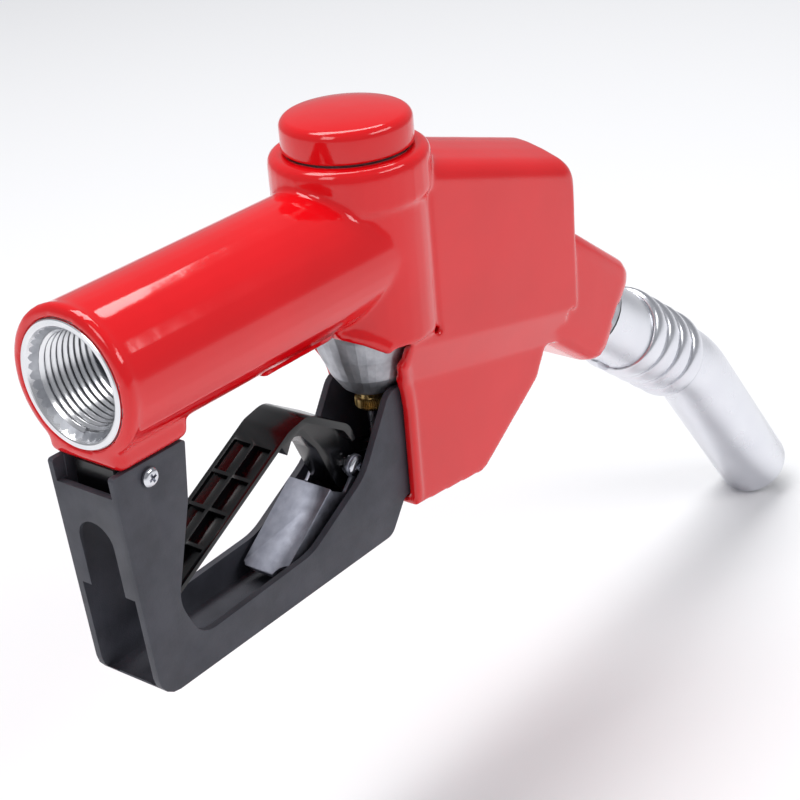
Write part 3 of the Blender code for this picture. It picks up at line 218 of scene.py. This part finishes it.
# %% [markdown]
# The metals. Cast aluminium is grey and slightly rough from the mould and the shot blasting. The
# hose thread and the ring are turned on a lathe, so they shine and keep fine rings. The spout is
# drawn tube with a satin anodised skin. Brass is turned and then handled, so it is a little dull.
# Zinc plating on the clip's sheet is a blotchy soft grey, and the pins are bright chrome.

# %% Finishes: metals
def make_metal(name, light, dark, patch, rough, depth, grain, stretch=(1, 1, 1)):
    """A metal: patches of two close tones, drifting roughness, and a fine relief."""
    material, tree, shader = new_finish(name, Metallic=1.0)
    space = pattern_space(tree)
    lay = pattern_space(tree, stretch=stretch)
    tree.links.new(mottle(tree, space, patch, light, dark), shader.inputs["Base Color"])
    tree.links.new(drift(tree, space, patch * 0.7, *rough), shader.inputs["Roughness"])
    noise = add_node(tree, "ShaderNodeTexNoise", {"Vector": lay, "Scale": 1 / grain,
                                                  "Detail": 2.0})
    tree.links.new(relief(tree, noise.outputs["Fac"], depth, 0.6), shader.inputs["Normal"])
    return material


cast_aluminium = make_metal("cast_aluminium", "#c2c4c9", "#a6a8ae", 6 * MM, (0.42, 0.55),
                            0.12 * MM, 0.9 * MM)
turned_aluminium = make_metal("turned_aluminium", "#ececee", "#e4e5e8", 8 * MM, (0.20, 0.25),
                              0.006 * MM, 0.5 * MM, stretch=(3, 1, 1))
satin_aluminium = make_metal("satin_anodised_aluminium", "#e6e7ec", "#e0e1e7", 20 * MM,
                             (0.25, 0.28), 0.02 * MM, 0.6 * MM, stretch=(0.2, 1, 0.2))
spring_steel = make_metal("spring_steel", "#b9bac0", "#9b9ca3", 5 * MM, (0.25, 0.35),
                          0.02 * MM, 0.6 * MM)
brass = make_metal("turned_brass", "#c9ae7a", "#a08450", 3 * MM, (0.28, 0.42),
                   0.04 * MM, 0.6 * MM)
zinc_sheet = make_metal("zinc_plated_sheet", "#b4b6c2", "#a3a5b2", 4 * MM, (0.38, 0.5),
                        0.04 * MM, 0.7 * MM)
chrome = make_metal("bright_chrome", "#dcdde2", "#cfd0d6", 6 * MM, (0.08, 0.14),
                    0.01 * MM, 1.0 * MM)


# %% [markdown]
# The guard is glass-filled nylon with a spark-eroded grain, so it is matt and reads slate grey
# where light falls on it. The lever is the same black without the grain, polished by the mould.
# Rubber seals and acetal valve parts are inside and only need plain moulded finishes.

# %% Finishes: plastics and rubber
def make_plastic(name, light, dark, rough, grain, depth, ior=1.5, strength=0.7):
    """A moulded plastic: two close tones, drifting roughness and the mould's own grain."""
    material, tree, shader = new_finish(name, IOR=ior)
    space = pattern_space(tree)
    tree.links.new(mottle(tree, space, 9 * MM, light, dark), shader.inputs["Base Color"])
    tree.links.new(drift(tree, space, 14 * MM, *rough), shader.inputs["Roughness"])
    cells = add_node(tree, "ShaderNodeTexNoise", {"Vector": space, "Scale": 1 / grain,
                                                  "Detail": 2.0, "Roughness": 0.6})
    tree.links.new(relief(tree, cells.outputs["Fac"], depth, strength), shader.inputs["Normal"])
    return material


red_vinyl = make_red_vinyl()
grained_black = make_plastic("grained_black_nylon", "#43444d", "#393a42", (0.48, 0.6),
                             0.55 * MM, 0.10 * MM)
gloss_black = make_plastic("polished_black_nylon", "#0d0d10", "#08080a", (0.16, 0.26),
                           3.0 * MM, 0.02 * MM, strength=0.3)
nitrile = make_plastic("nitrile_rubber", "#1b1b1c", "#141415", (0.55, 0.7), 0.5 * MM, 0.04 * MM)
acetal = make_plastic("white_acetal", "#dedcd2", "#d2d0c6", (0.3, 0.4), 2.0 * MM, 0.02 * MM)
FINISHES = {"red_vinyl": red_vinyl, "cast_aluminium": cast_aluminium,
            "satin_aluminium": satin_aluminium, "spring_steel": spring_steel, "brass": brass,
            "nitrile_rubber": nitrile, "acetal": acetal, "grained_black_plastic": grained_black,
            "gloss_black_plastic": gloss_black, "zinc_plated_steel": zinc_sheet,
            "chromed_steel": chrome}
for name, obj in nodes.items():
    obj.data.materials.clear()
    obj.data.materials.append(FINISHES[slot_of[name]])
print(len(nodes), "CAD nodes given", len(FINISHES), "finishes")

# %% [markdown]
# A few helpers serve every new piece. One turns a bmesh into a named piece that rides on its
# body. One copies a CAD node and merges its loose triangles, so that another can round its edges.
# Two work as a lathe does: one turns a profile, and one cuts a thread, turning as it advances.

# %% Helpers for pieces
MERGED = 0.004 * MM
FLAT_ANGLE, SHARP_ANGLE = math.radians(1), math.radians(32)
ON_AXIS = 0.001 * MM         # a ring this small merges into one point


def finished(bm, name, stands_for, finish, angle=38, adds=False):
    """Make the bmesh a piece on a CAD node's body, in place of that node unless it adds to it."""
    mesh = bpy.data.meshes.new(name)
    bm.to_mesh(mesh)
    bm.free()
    mesh.materials.append(finish)
    mesh.shade_smooth()
    mesh.set_sharp_from_angle(angle=math.radians(angle))
    piece = bpy.data.objects.new(name, mesh)
    scene.collection.objects.link(piece)
    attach(piece, nodes[stands_for]["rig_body"])
    if not adds:
        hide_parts(stands_for)
    triangles = sum(len(p.vertices) - 2 for p in mesh.polygons)
    print(f"{name}: {triangles} triangles")


def copy_of(node):
    """A merged copy of a CAD node, its flat faces joined up again."""
    bm = bmesh.new()
    bm.from_mesh(nodes[node].data)
    bmesh.ops.remove_doubles(bm, verts=bm.verts[:], dist=MERGED)
    bmesh.ops.dissolve_limit(bm, angle_limit=FLAT_ANGLE, verts=bm.verts[:], edges=bm.edges[:],
                             use_dissolve_boundaries=False)
    return bm


def soften(bm, width, segments=2):
    """Round every sharp edge."""
    sharp = [e for e in bm.edges if len(e.link_faces) == 2
             and e.calc_face_angle(0) > SHARP_ANGLE]
    bmesh.ops.bevel(bm, geom=sharp, offset=width, offset_type="OFFSET", segments=segments,
                    profile=0.5, affect="EDGES", clamp_overlap=True, material=-1)
    return bm


def ring_line(bm, points, closed=False):
    """Vertices joined in a line, as a profile."""
    verts = [bm.verts.new(p) for p in points]
    pairs = list(zip(verts, verts[1:])) + ([(verts[-1], verts[0])] if closed else [])
    return verts, [bm.edges.new(pair) for pair in pairs]


def stand(bm, place, axis):
    """Turn a shape made about Z to another axis, and move it."""
    turn = Z.rotation_difference(axis).to_matrix().to_4x4()
    bmesh.ops.transform(bm, matrix=Matrix.Translation(place) @ turn, verts=bm.verts[:])


def lathe(profile, centre, axis, steps=64, closed=False):
    """Turn a profile of (radius, height) points about an axis through centre."""
    bm = bmesh.new()
    verts, edges = ring_line(bm, [(r, 0, h) for r, h in profile], closed)
    bmesh.ops.spin(bm, geom=verts + edges, cent=(0, 0, 0), axis=(0, 0, 1), angle=math.tau,
                   steps=steps, use_merge=True)
    bmesh.ops.remove_doubles(bm, verts=bm.verts[:], dist=ON_AXIS)
    bmesh.ops.recalc_face_normals(bm, faces=bm.faces[:])
    stand(bm, centre, axis)
    return bm


def spin_forward(section, pitch, turns, per_turn):
    """A section of (radius, height) points, spun about Z with a step forward at each turn."""
    bm = bmesh.new()
    verts, edges = ring_line(bm, [(r, 0, h) for r, h in section], closed=True)
    bm.faces.new(verts)
    spun = bmesh.ops.spin(bm, geom=verts + edges, cent=(0, 0, 0), axis=(0, 0, 1),
                          dvec=(0, 0, pitch / per_turn), angle=math.tau * turns,
                          steps=int(per_turn * turns), use_merge=False)
    last = [g for g in spun["geom_last"] if isinstance(g, bmesh.types.BMEdge)]
    bmesh.ops.holes_fill(bm, edges=last, sides=0)
    bmesh.ops.recalc_face_normals(bm, faces=bm.faces[:])
    return bm


def arc(centre, radius, start, end, steps):
    """Points of a round corner, in degrees."""
    return [(centre[0] + radius * math.cos(math.radians(start + (end - start) * i / steps)),
             centre[1] + radius * math.sin(math.radians(start + (end - start) * i / steps)))
            for i in range(steps + 1)]


# %% [markdown]
# ## The red cover
# The real cover is one thick skin over the whole casting, and every edge of it is round because
# liquid vinyl can't hold a sharp corner. The CAD cover has the right outline with sharp edges.
# A fine voxel remesh joins it with an added rim and rows of beads into one skin, and smoothing
# then rounds everything as the dipping does.

# %% Places of the cover
cap_low, cap_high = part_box("cap_cover")
VALVE_X = (cap_low.x + cap_high.x) / 2
MOUTH_R = 23.7 * MM
ROLL_R, ROLL_INSET = 2.3 * MM, 1.7 * MM
LIP_R, LIP_PROUD = 2.4 * MM, 0.9 * MM
WINDOW_TOP, WINDOW_ARC_R = -21.9 * MM, 37 * MM
ARC_X, ARC_Z = VALVE_X - 38.5 * MM, -58.9 * MM
SIDE_Y = 22.5 * MM
WEB_R, WEB_X = 4.0 * MM, VALVE_X + 13 * MM
WEB_HEIGHTS = [(-26 + 3 * i) * MM for i in range(5)]
print("valve axis at", round(VALVE_X / MM, 1), "mm")


def rolled_rim():
    """The bead round the cover's inlet end."""
    section = arc((MOUTH_R - ROLL_INSET, ROLL_R), ROLL_R, 0, 345, 23)
    return lathe(section, (0, 0, 0), X, 72, closed=True)


def window_edge():
    """Points (x, z) along the window's front edge, a little inside the skin."""
    inset = LIP_R * 0.9
    radius = WINDOW_ARC_R + inset
    along_top = [(VALVE_X + (2 * i - 60) * MM, WINDOW_TOP + inset) for i in range(11)]
    round_corner = arc((ARC_X, ARC_Z), radius, 90, 0, 32)
    down = [(ARC_X + radius, ARC_Z - 1.5 * MM * i) for i in range(1, 22)]
    return along_top + round_corner + down


def add_beads(bm, spots, radius):
    for spot in spots:
        bmesh.ops.create_icosphere(bm, subdivisions=2, radius=radius,
                                   matrix=Matrix.Translation(spot))


def lip_spots(bm):
    """Places just under the skin along the window's edge, on both sides of the cover."""
    far_out, too_deep = 60 * MM, 10 * MM
    tree = BVHTree.FromBMesh(bm)
    spots = []
    for x, z in window_edge():
        for side in (-1, 1):
            hit = tree.ray_cast(Vector((x, side * far_out, z)), Vector((0, -side, 0)))[0]
            if hit is not None and hit.y * side > too_deep:
                spots.append((x, hit.y - side * (LIP_R - LIP_PROUD), z))
    return spots


def cover_skin():
    """The CAD cover with the lips, the rolled rim and a web inside the corner by the boss."""
    bm = copy_of("hand_cover")
    lips = lip_spots(bm)
    web = [(WEB_X, side * (SIDE_Y - WEB_R), z) for side in (-1, 1) for z in WEB_HEIGHTS]
    add_beads(bm, lips, LIP_R)
    add_beads(bm, web, WEB_R)
    print("beads along the window:", len(lips))
    mesh = bpy.data.meshes.new("rim")
    rim = rolled_rim()
    rim.to_mesh(mesh)
    rim.free()
    bm.from_mesh(mesh)
    bpy.data.meshes.remove(mesh)
    return bm


def dipped(bm, voxel, rounds, keep):
    """Join by voxels, smooth, and thin the mesh where it is flat."""
    mesh = bpy.data.meshes.new("dipping")
    bm.to_mesh(mesh)
    bm.free()
    blank = bpy.data.objects.new("dipping", mesh)
    scene.collection.objects.link(blank)
    remesh = blank.modifiers.new("skin", "REMESH")
    remesh.mode = "VOXEL"
    remesh.voxel_size = voxel
    smooth = blank.modifiers.new("flow", "SMOOTH")
    smooth.factor = 0.5
    smooth.iterations = rounds
    thin = blank.modifiers.new("thin", "DECIMATE")
    thin.ratio = keep
    bpy.context.view_layer.update()
    evaluated = blank.evaluated_get(bpy.context.evaluated_depsgraph_get())
    result = bmesh.new()
    made = bpy.data.meshes.new_from_object(evaluated)
    result.from_mesh(made)
    bpy.data.objects.remove(blank, do_unlink=True)
    bpy.data.meshes.remove(made)
    return result


# %% [markdown]
# The skin is joined, smoothed and shown without any sharp edge, as vinyl is when it has gelled.
# Nine rounds of smoothing on 0.9 mm voxels round its edges, and half of the triangles are kept.

# %% Make the cover
VOXEL, ROUNDS, KEEP = 0.9 * MM, 9, 0.5
finished(dipped(cover_skin(), VOXEL, ROUNDS, KEEP), "red_hand_cover", "hand_cover", red_vinyl,
         angle=180)

# %% [markdown]
# ## The hose inlet
# The casting's mouth is faced and threaded on a lathe, so it is bright against the cast skin:
# a flat ring, a wide chamfer and a pipe thread of 11 turns to the inch. The thread is one
# rounded ridge, spun about the bore's axis with a step forward at each turn.

# %% Inlet ring and thread
RING_R, CHAMFER_R, SLEEVE_R = 20.0 * MM, 18.3 * MM, 16.3 * MM
ROOT_R, ROOT_START, ROOT_END = 15.75 * MM, 3.4 * MM, 23.5 * MM
RING_PROUD, RING_EDGE = 0.2 * MM, 0.3 * MM
THREAD_R, THREAD_PITCH, THREAD_TURNS = 15.9 * MM, 2.31 * MM, 8.5
THREAD_HEIGHT, THREAD_START = 1.1 * MM, 3.6 * MM


def inlet_ring():
    """The faced ring, its chamfer and the root of the thread, as one closed sleeve."""
    profile = [(RING_R, 3 * MM), (RING_R, RING_EDGE - RING_PROUD),
               (RING_R - RING_EDGE, -RING_PROUD), (CHAMFER_R, -RING_PROUD),
               (CHAMFER_R - 0.4 * MM, 0), (ROOT_R, ROOT_START), (ROOT_R, ROOT_END),
               (SLEEVE_R, ROOT_END), (SLEEVE_R, ROOT_START + RING_PROUD)]
    return lathe(profile, (0, 0, 0), X, 96, closed=True)


def inlet_thread():
    """One rounded ridge, wound inside the sleeve."""
    crest, half, round_off = THREAD_R - THREAD_HEIGHT, THREAD_PITCH / 2, 0.25 * MM
    rising = [(THREAD_R, -half * 0.96), (crest + round_off, -half * 0.3), (crest, -half * 0.1)]
    section = rising + [(r, -h) for r, h in reversed(rising)]
    bm = spin_forward(section, THREAD_PITCH, THREAD_TURNS, per_turn=56)
    stand(bm, (THREAD_START, 0, 0), X)
    return bm


finished(inlet_ring(), "turned_inlet_ring", "body_casting", turned_aluminium, 25, adds=True)
finished(inlet_thread(), "turned_inlet_thread", "body_casting", turned_aluminium, 50, adds=True)

# %% [markdown]
# ## The valve cap
# The cap over the main valve is a moulded red disc with a slightly domed top and a wide round
# edge. It is turned from one profile, with its skirt and the hollow under it.

# %% Valve cap
CAP_R = (cap_high.x - cap_low.x) / 2
TOP_EDGE_R, SKIRT_EDGE_R, DOME_RISE = 3.2 * MM, 0.9 * MM, 1.3 * MM
CAP_WALL, HOLLOW_DEPTH = 2.0 * MM, 1.5 * MM


def valve_cap():
    top, base = cap_high.z, cap_low.z
    inner, ceiling = CAP_R - CAP_WALL, base + HOLLOW_DEPTH
    dome = [(ON_AXIS, top), (CAP_R * 0.3, top - 0.12 * MM), (CAP_R * 0.6, top - 0.55 * MM)]
    dome += arc((CAP_R - TOP_EDGE_R, top - DOME_RISE - TOP_EDGE_R), TOP_EDGE_R, 76, 0, 8)
    dome += arc((CAP_R - SKIRT_EDGE_R, base + SKIRT_EDGE_R), SKIRT_EDGE_R, 0, -90, 4)
    hollow = [(inner, base), (inner, ceiling), (ON_AXIS, ceiling)]
    return lathe(dome + hollow, (VALVE_X, 0, 0), Z, 96)


finished(valve_cap(), "red_valve_cap", "cap_cover", red_vinyl, angle=60)

# %% [markdown]
# ## The spout
# The spout is a drawn aluminium tube, bent once on a mandrel and rolled in a little at its tip.
# A circle is pushed along its first run, spun round the bend and pushed on to the tip. The
# ridge on it is a flat-backed wire wound round the tube: its half-round section is spun with a
# small step forward at each turn.

# %% Spout tube
SPOUT_R = 15 * MM
PITCH_1, PITCH_2 = math.radians(-36.4), math.radians(-52.7)
BEND_R = 60 * MM
RIM = Vector((246.9 * MM, 0, -71.4 * MM))
RUN_1, RUN_2, SEAT = 84 * MM, 79 * MM, 26 * MM
TIP = 2.6 * MM
TIP_STEPS = ((0.38, 0.980), (0.30, 0.959), (0.22, 0.950), (0.10, 0.940))
axis_1 = Vector((math.cos(PITCH_1), 0, math.sin(PITCH_1)))
axis_2 = Vector((math.cos(PITCH_2), 0, math.sin(PITCH_2)))
below_1 = Vector((math.sin(PITCH_1), 0, -math.cos(PITCH_1)))


def push(bm, edges, step, scale=1.0):
    """Extrude a ring of edges by a step, and draw the new ring in or out."""
    made = bmesh.ops.extrude_edge_only(bm, edges=edges)["geom"]
    verts = [g for g in made if isinstance(g, bmesh.types.BMVert)]
    bmesh.ops.translate(bm, vec=step, verts=verts)
    if scale != 1.0:
        centre = sum((v.co for v in verts), Vector()) / len(verts)
        for vert in verts:
            vert.co = centre + (vert.co - centre) * scale
    return [g for g in made if isinstance(g, bmesh.types.BMEdge)
            and all(v in verts for v in g.verts)]


def spout_shell():
    """The outer skin, the rolled tip and the bore behind it, from one ring."""
    bm = bmesh.new()
    bmesh.ops.create_circle(bm, segments=72, radius=SPOUT_R)
    stand(bm, RIM - axis_1 * SEAT, axis_1)
    ring = push(bm, bm.edges[:], axis_1 * (SEAT + RUN_1))
    centre = RIM + axis_1 * RUN_1 + below_1 * BEND_R
    last_verts = list({v for e in ring for v in e.verts})
    spun = bmesh.ops.spin(bm, geom=last_verts + ring, cent=centre, axis=(0, 1, 0),
                          angle=PITCH_1 - PITCH_2, steps=10, use_merge=False)
    ring = [g for g in spun["geom_last"] if isinstance(g, bmesh.types.BMEdge)]
    ring = push(bm, ring, axis_2 * (RUN_2 - TIP))
    for part, scale in TIP_STEPS:
        ring = push(bm, ring, axis_2 * TIP * part, scale)
    ring = push(bm, ring, axis_2 * -0.3 * MM, 0.97)
    ring = push(bm, ring, axis_2 * -1.2 * MM, 0.99)
    ring = push(bm, ring, axis_2 * -(RUN_2 - 6 * MM))
    bmesh.ops.holes_fill(bm, edges=ring, sides=0)
    bmesh.ops.remove_doubles(bm, verts=bm.verts[:], dist=ON_AXIS)
    bmesh.ops.recalc_face_normals(bm, faces=bm.faces[:])
    return bm


finished(spout_shell(), "satin_spout", "spout_tube", satin_aluminium, angle=40)

# %% [markdown]
# The ridge is broad and low, so that its turns nearly touch and only a thin dark line shows
# between them. It grips the rim of a filler neck and keeps the nozzle from sliding out.

# %% Spout ridge
TURNS, PITCH, RIDGE_END = 4.5, 10.8 * MM, 6 * MM
RIDGE_HIGH, RIDGE_WIDE = 2.2 * MM, 9.4 * MM


def wound_ridge():
    """A half-round section, spun round the spout with a step forward."""
    foot = (SPOUT_R + 0.1 * MM, RIDGE_WIDE / 2)
    section = [foot]
    for i in range(9):
        angle = math.pi * i / 8
        rise = 0.3 * MM + (RIDGE_HIGH - 0.2 * MM) * math.sin(angle) ** 0.8
        section.append((SPOUT_R + rise, RIDGE_WIDE / 2 * math.cos(angle)))
    section.append((foot[0], -foot[1]))
    bm = spin_forward(section, PITCH, TURNS, per_turn=40)
    stand(bm, RIM + axis_1 * (RUN_1 - PITCH * TURNS - RIDGE_END), axis_1)
    return bm


finished(wound_ridge(), "spout_ridge", "spout_spring", satin_aluminium, angle=60)

# %% [markdown]
# ## Guard, lever and clip
# These three are moulded or pressed to the CAD outline, and what the CAD leaves out is the
# small radius on every edge. A merged copy of each node gets its edges bevelled: a wide radius
# on the guard, a fine one on the lever's rails and the clip's sheet.

# %% Guard, lever and clip
finished(soften(copy_of("lever_guard"), 0.8 * MM, 3), "black_lever_guard", "lever_guard",
         grained_black)
finished(soften(copy_of("lever"), 0.3 * MM, 2), "black_lever", "lever", gloss_black)
finished(soften(copy_of("hold_open_clip"), 0.25 * MM, 2), "zinc_hold_open_clip", "hold_open_clip",
         zinc_sheet)

# %% [markdown]
# ## Screw and pin heads
# The guard's bolt and the clip's pin are cold-headed steel with a cross recess, bright from the
# plating. The head is turned from a low dome that is open in the middle. A cross-shaped loop
# is bridged to that opening and pushed down to make the recess.

# %% Screw and pin heads
def cross_loop(bm, reach, half, height):
    """The outline of a cross, as a closed loop of edges."""
    quarter = [(reach, -half), (reach, half), (half, half)]
    points = []
    for step in range(4):
        turn = Matrix.Rotation(math.pi / 2 * step, 2)
        points += [turn @ Vector(p) for p in quarter]
    return ring_line(bm, [(p.x, p.y, height) for p in points], closed=True)


def cross_head(radius, height, shank, length):
    """A domed head with a cross recess, on a shank that runs down from it."""
    opening = radius * 0.66
    dome = [(opening, height), (radius * 0.85, height * 0.8), (radius, height * 0.45),
            (radius, 0), (shank, 0), (shank, -length), (ON_AXIS, -length)]
    bm = lathe(dome, (0, 0, 0), Z, 48)
    rim = [e for e in bm.edges if e.is_boundary and e.verts[0].co.z > height * 0.9]
    verts, edges = cross_loop(bm, radius * 0.5, radius * 0.15, height)
    bmesh.ops.bridge_loops(bm, edges=rim + edges)
    made = bmesh.ops.extrude_edge_only(bm, edges=edges)["geom"]
    lower = [g for g in made if isinstance(g, bmesh.types.BMVert)]
    bmesh.ops.translate(bm, vec=(0, 0, -height * 0.9 - 0.4 * MM), verts=lower)
    floor_edges = [g for g in made if isinstance(g, bmesh.types.BMEdge)
                   and all(v in lower for v in g.verts)]
    bmesh.ops.holes_fill(bm, edges=floor_edges, sides=0)
    bmesh.ops.recalc_face_normals(bm, faces=bm.faces[:])
    return bm


def placed_head(node, radius, height, shank):
    """The head of a pin that lies across the nozzle, on its near end."""
    low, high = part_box(node)
    length = high.y - low.y - height
    bm = cross_head(radius, height, shank, length)
    middle = (low + high) / 2
    turn = Z.rotation_difference(-Y).to_matrix().to_4x4() @ Matrix.Rotation(0.4, 4, "Z")
    place = Matrix.Translation((middle.x, low.y + height, middle.z))
    bmesh.ops.transform(bm, matrix=place @ turn, verts=bm.verts[:])
    return bm


finished(placed_head("guard_bolt", 3.0 * MM, 1.4 * MM, 1.9 * MM), "chrome_guard_bolt",
         "guard_bolt", chrome, angle=30)
finished(placed_head("clip_pin", 3.4 * MM, 1.0 * MM, 2.2 * MM), "chrome_clip_pin", "clip_pin",
         chrome, angle=30)

# %% [markdown]
# ## Packing nut
# The brass nut under the bowl holds the stem's packing. Its lower part is knurled for the
# fingers, and its upper part has notches for a peg spanner.

# %% Packing nut
NUT_BORE_R, NUT_STEPS = 2.2 * MM, 96
NECK, COLLAR_HEIGHT, COLLAR_INSET = 4.3 * MM, 3.2 * MM, 1.0 * MM
KNURL_DEPTH, NOTCH_DEPTH, NOTCH_STEPS = 0.45 * MM, 2.2 * MM, 8


def packing_nut():
    """A knurled band below a collar with notches."""
    low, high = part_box("packing_nut")
    radius = (high.x - low.x) / 2
    band_r, collar_r = radius - 0.1 * MM, radius - COLLAR_INSET
    top = high.z - NECK
    band_top = top - COLLAR_HEIGHT
    profile = [(NUT_BORE_R, low.z), (radius - 1.2 * MM, low.z), (band_r, low.z + 1.0 * MM),
               (band_r, band_top), (collar_r, band_top + 0.5 * MM), (collar_r, top),
               (NUT_BORE_R, top)]
    bm = lathe(profile, (0, 0, 0), Z, NUT_STEPS, closed=True)
    for vert in bm.verts:
        step = round(math.atan2(vert.co.y, vert.co.x) / math.tau * NUT_STEPS)
        out = vert.co.xy.length
        if out > radius - 0.3 * MM and step % 2:
            vert.co.xy *= 1 - KNURL_DEPTH / radius
        if out > 3 * MM and abs(vert.co.z - top) < 0.1 * MM and step // NOTCH_STEPS % 2:
            vert.co.z -= NOTCH_DEPTH
    bmesh.ops.translate(bm, vec=(VALVE_X, 0, 0), verts=bm.verts[:])
    return bm


finished(packing_nut(), "brass_packing_nut", "packing_nut", brass, angle=30)

# %% [markdown]
# ## Floor and light
# A plain pale floor lies just under the spout's tip, and the light it throws back fills the
# undersides.

# %% Floor
FLOOR_Z = cad_box[0].z - 0.4 * MM
floor_bm = bmesh.new()
bmesh.ops.create_grid(floor_bm, x_segments=1, y_segments=1, size=6.0,
                      matrix=Matrix.Translation((0, 0, FLOOR_Z)))
floor_mesh = bpy.data.meshes.new("floor")
floor_bm.to_mesh(floor_mesh)
floor_bm.free()
paper = new_finish("pale_paper", Base_Color=linear("#fbfbfc"), Roughness=0.9)[0]
floor_mesh.materials.append(paper)
floor = bpy.data.objects.new("floor", floor_mesh)
scene.collection.objects.link(floor)
print("floor at", round(FLOOR_Z / MM, 1), "mm")

# %% [markdown]
# One wide box above lights the top and the paper, a tall one behind the inlet gives the ring its
# shine, and a narrow one at the near side draws the pale band along the grip. The even light of
# the room fills the rest, dim enough that the vinyl keeps its full red where it mirrors it.

# %% Lights
def soft_box(name, place, aim, width, height, watts):
    data = bpy.data.lights.new(name, "AREA")
    data.shape = "RECTANGLE"
    data.size, data.size_y, data.energy = width, height, watts
    light = bpy.data.objects.new(name, data)
    light.location = place
    light.rotation_mode = "QUATERNION"
    light.rotation_quaternion = (Vector(aim) - Vector(place)).to_track_quat("-Z", "Y")
    scene.collection.objects.link(light)
    print(name, watts, "W")


MIDDLE = (0.18, 0, -0.05)
soft_box("top_box", (0.30, 0.45, 1.60), MIDDLE, 2.0, 0.6, 24)
soft_box("left_box", (-0.90, -0.10, 0.75), MIDDLE, 0.4, 0.6, 3.0)
soft_box("front_box", (0.45, -1.05, 0.75), MIDDLE, 0.9, 0.3, 4.5)
world = bpy.data.worlds.new("studio")
scene.world = world
world.use_nodes = True
room = world.node_tree.nodes["Background"]
room.inputs["Color"].default_value = linear("#e9ebf0")
room.inputs["Strength"].default_value = 0.42
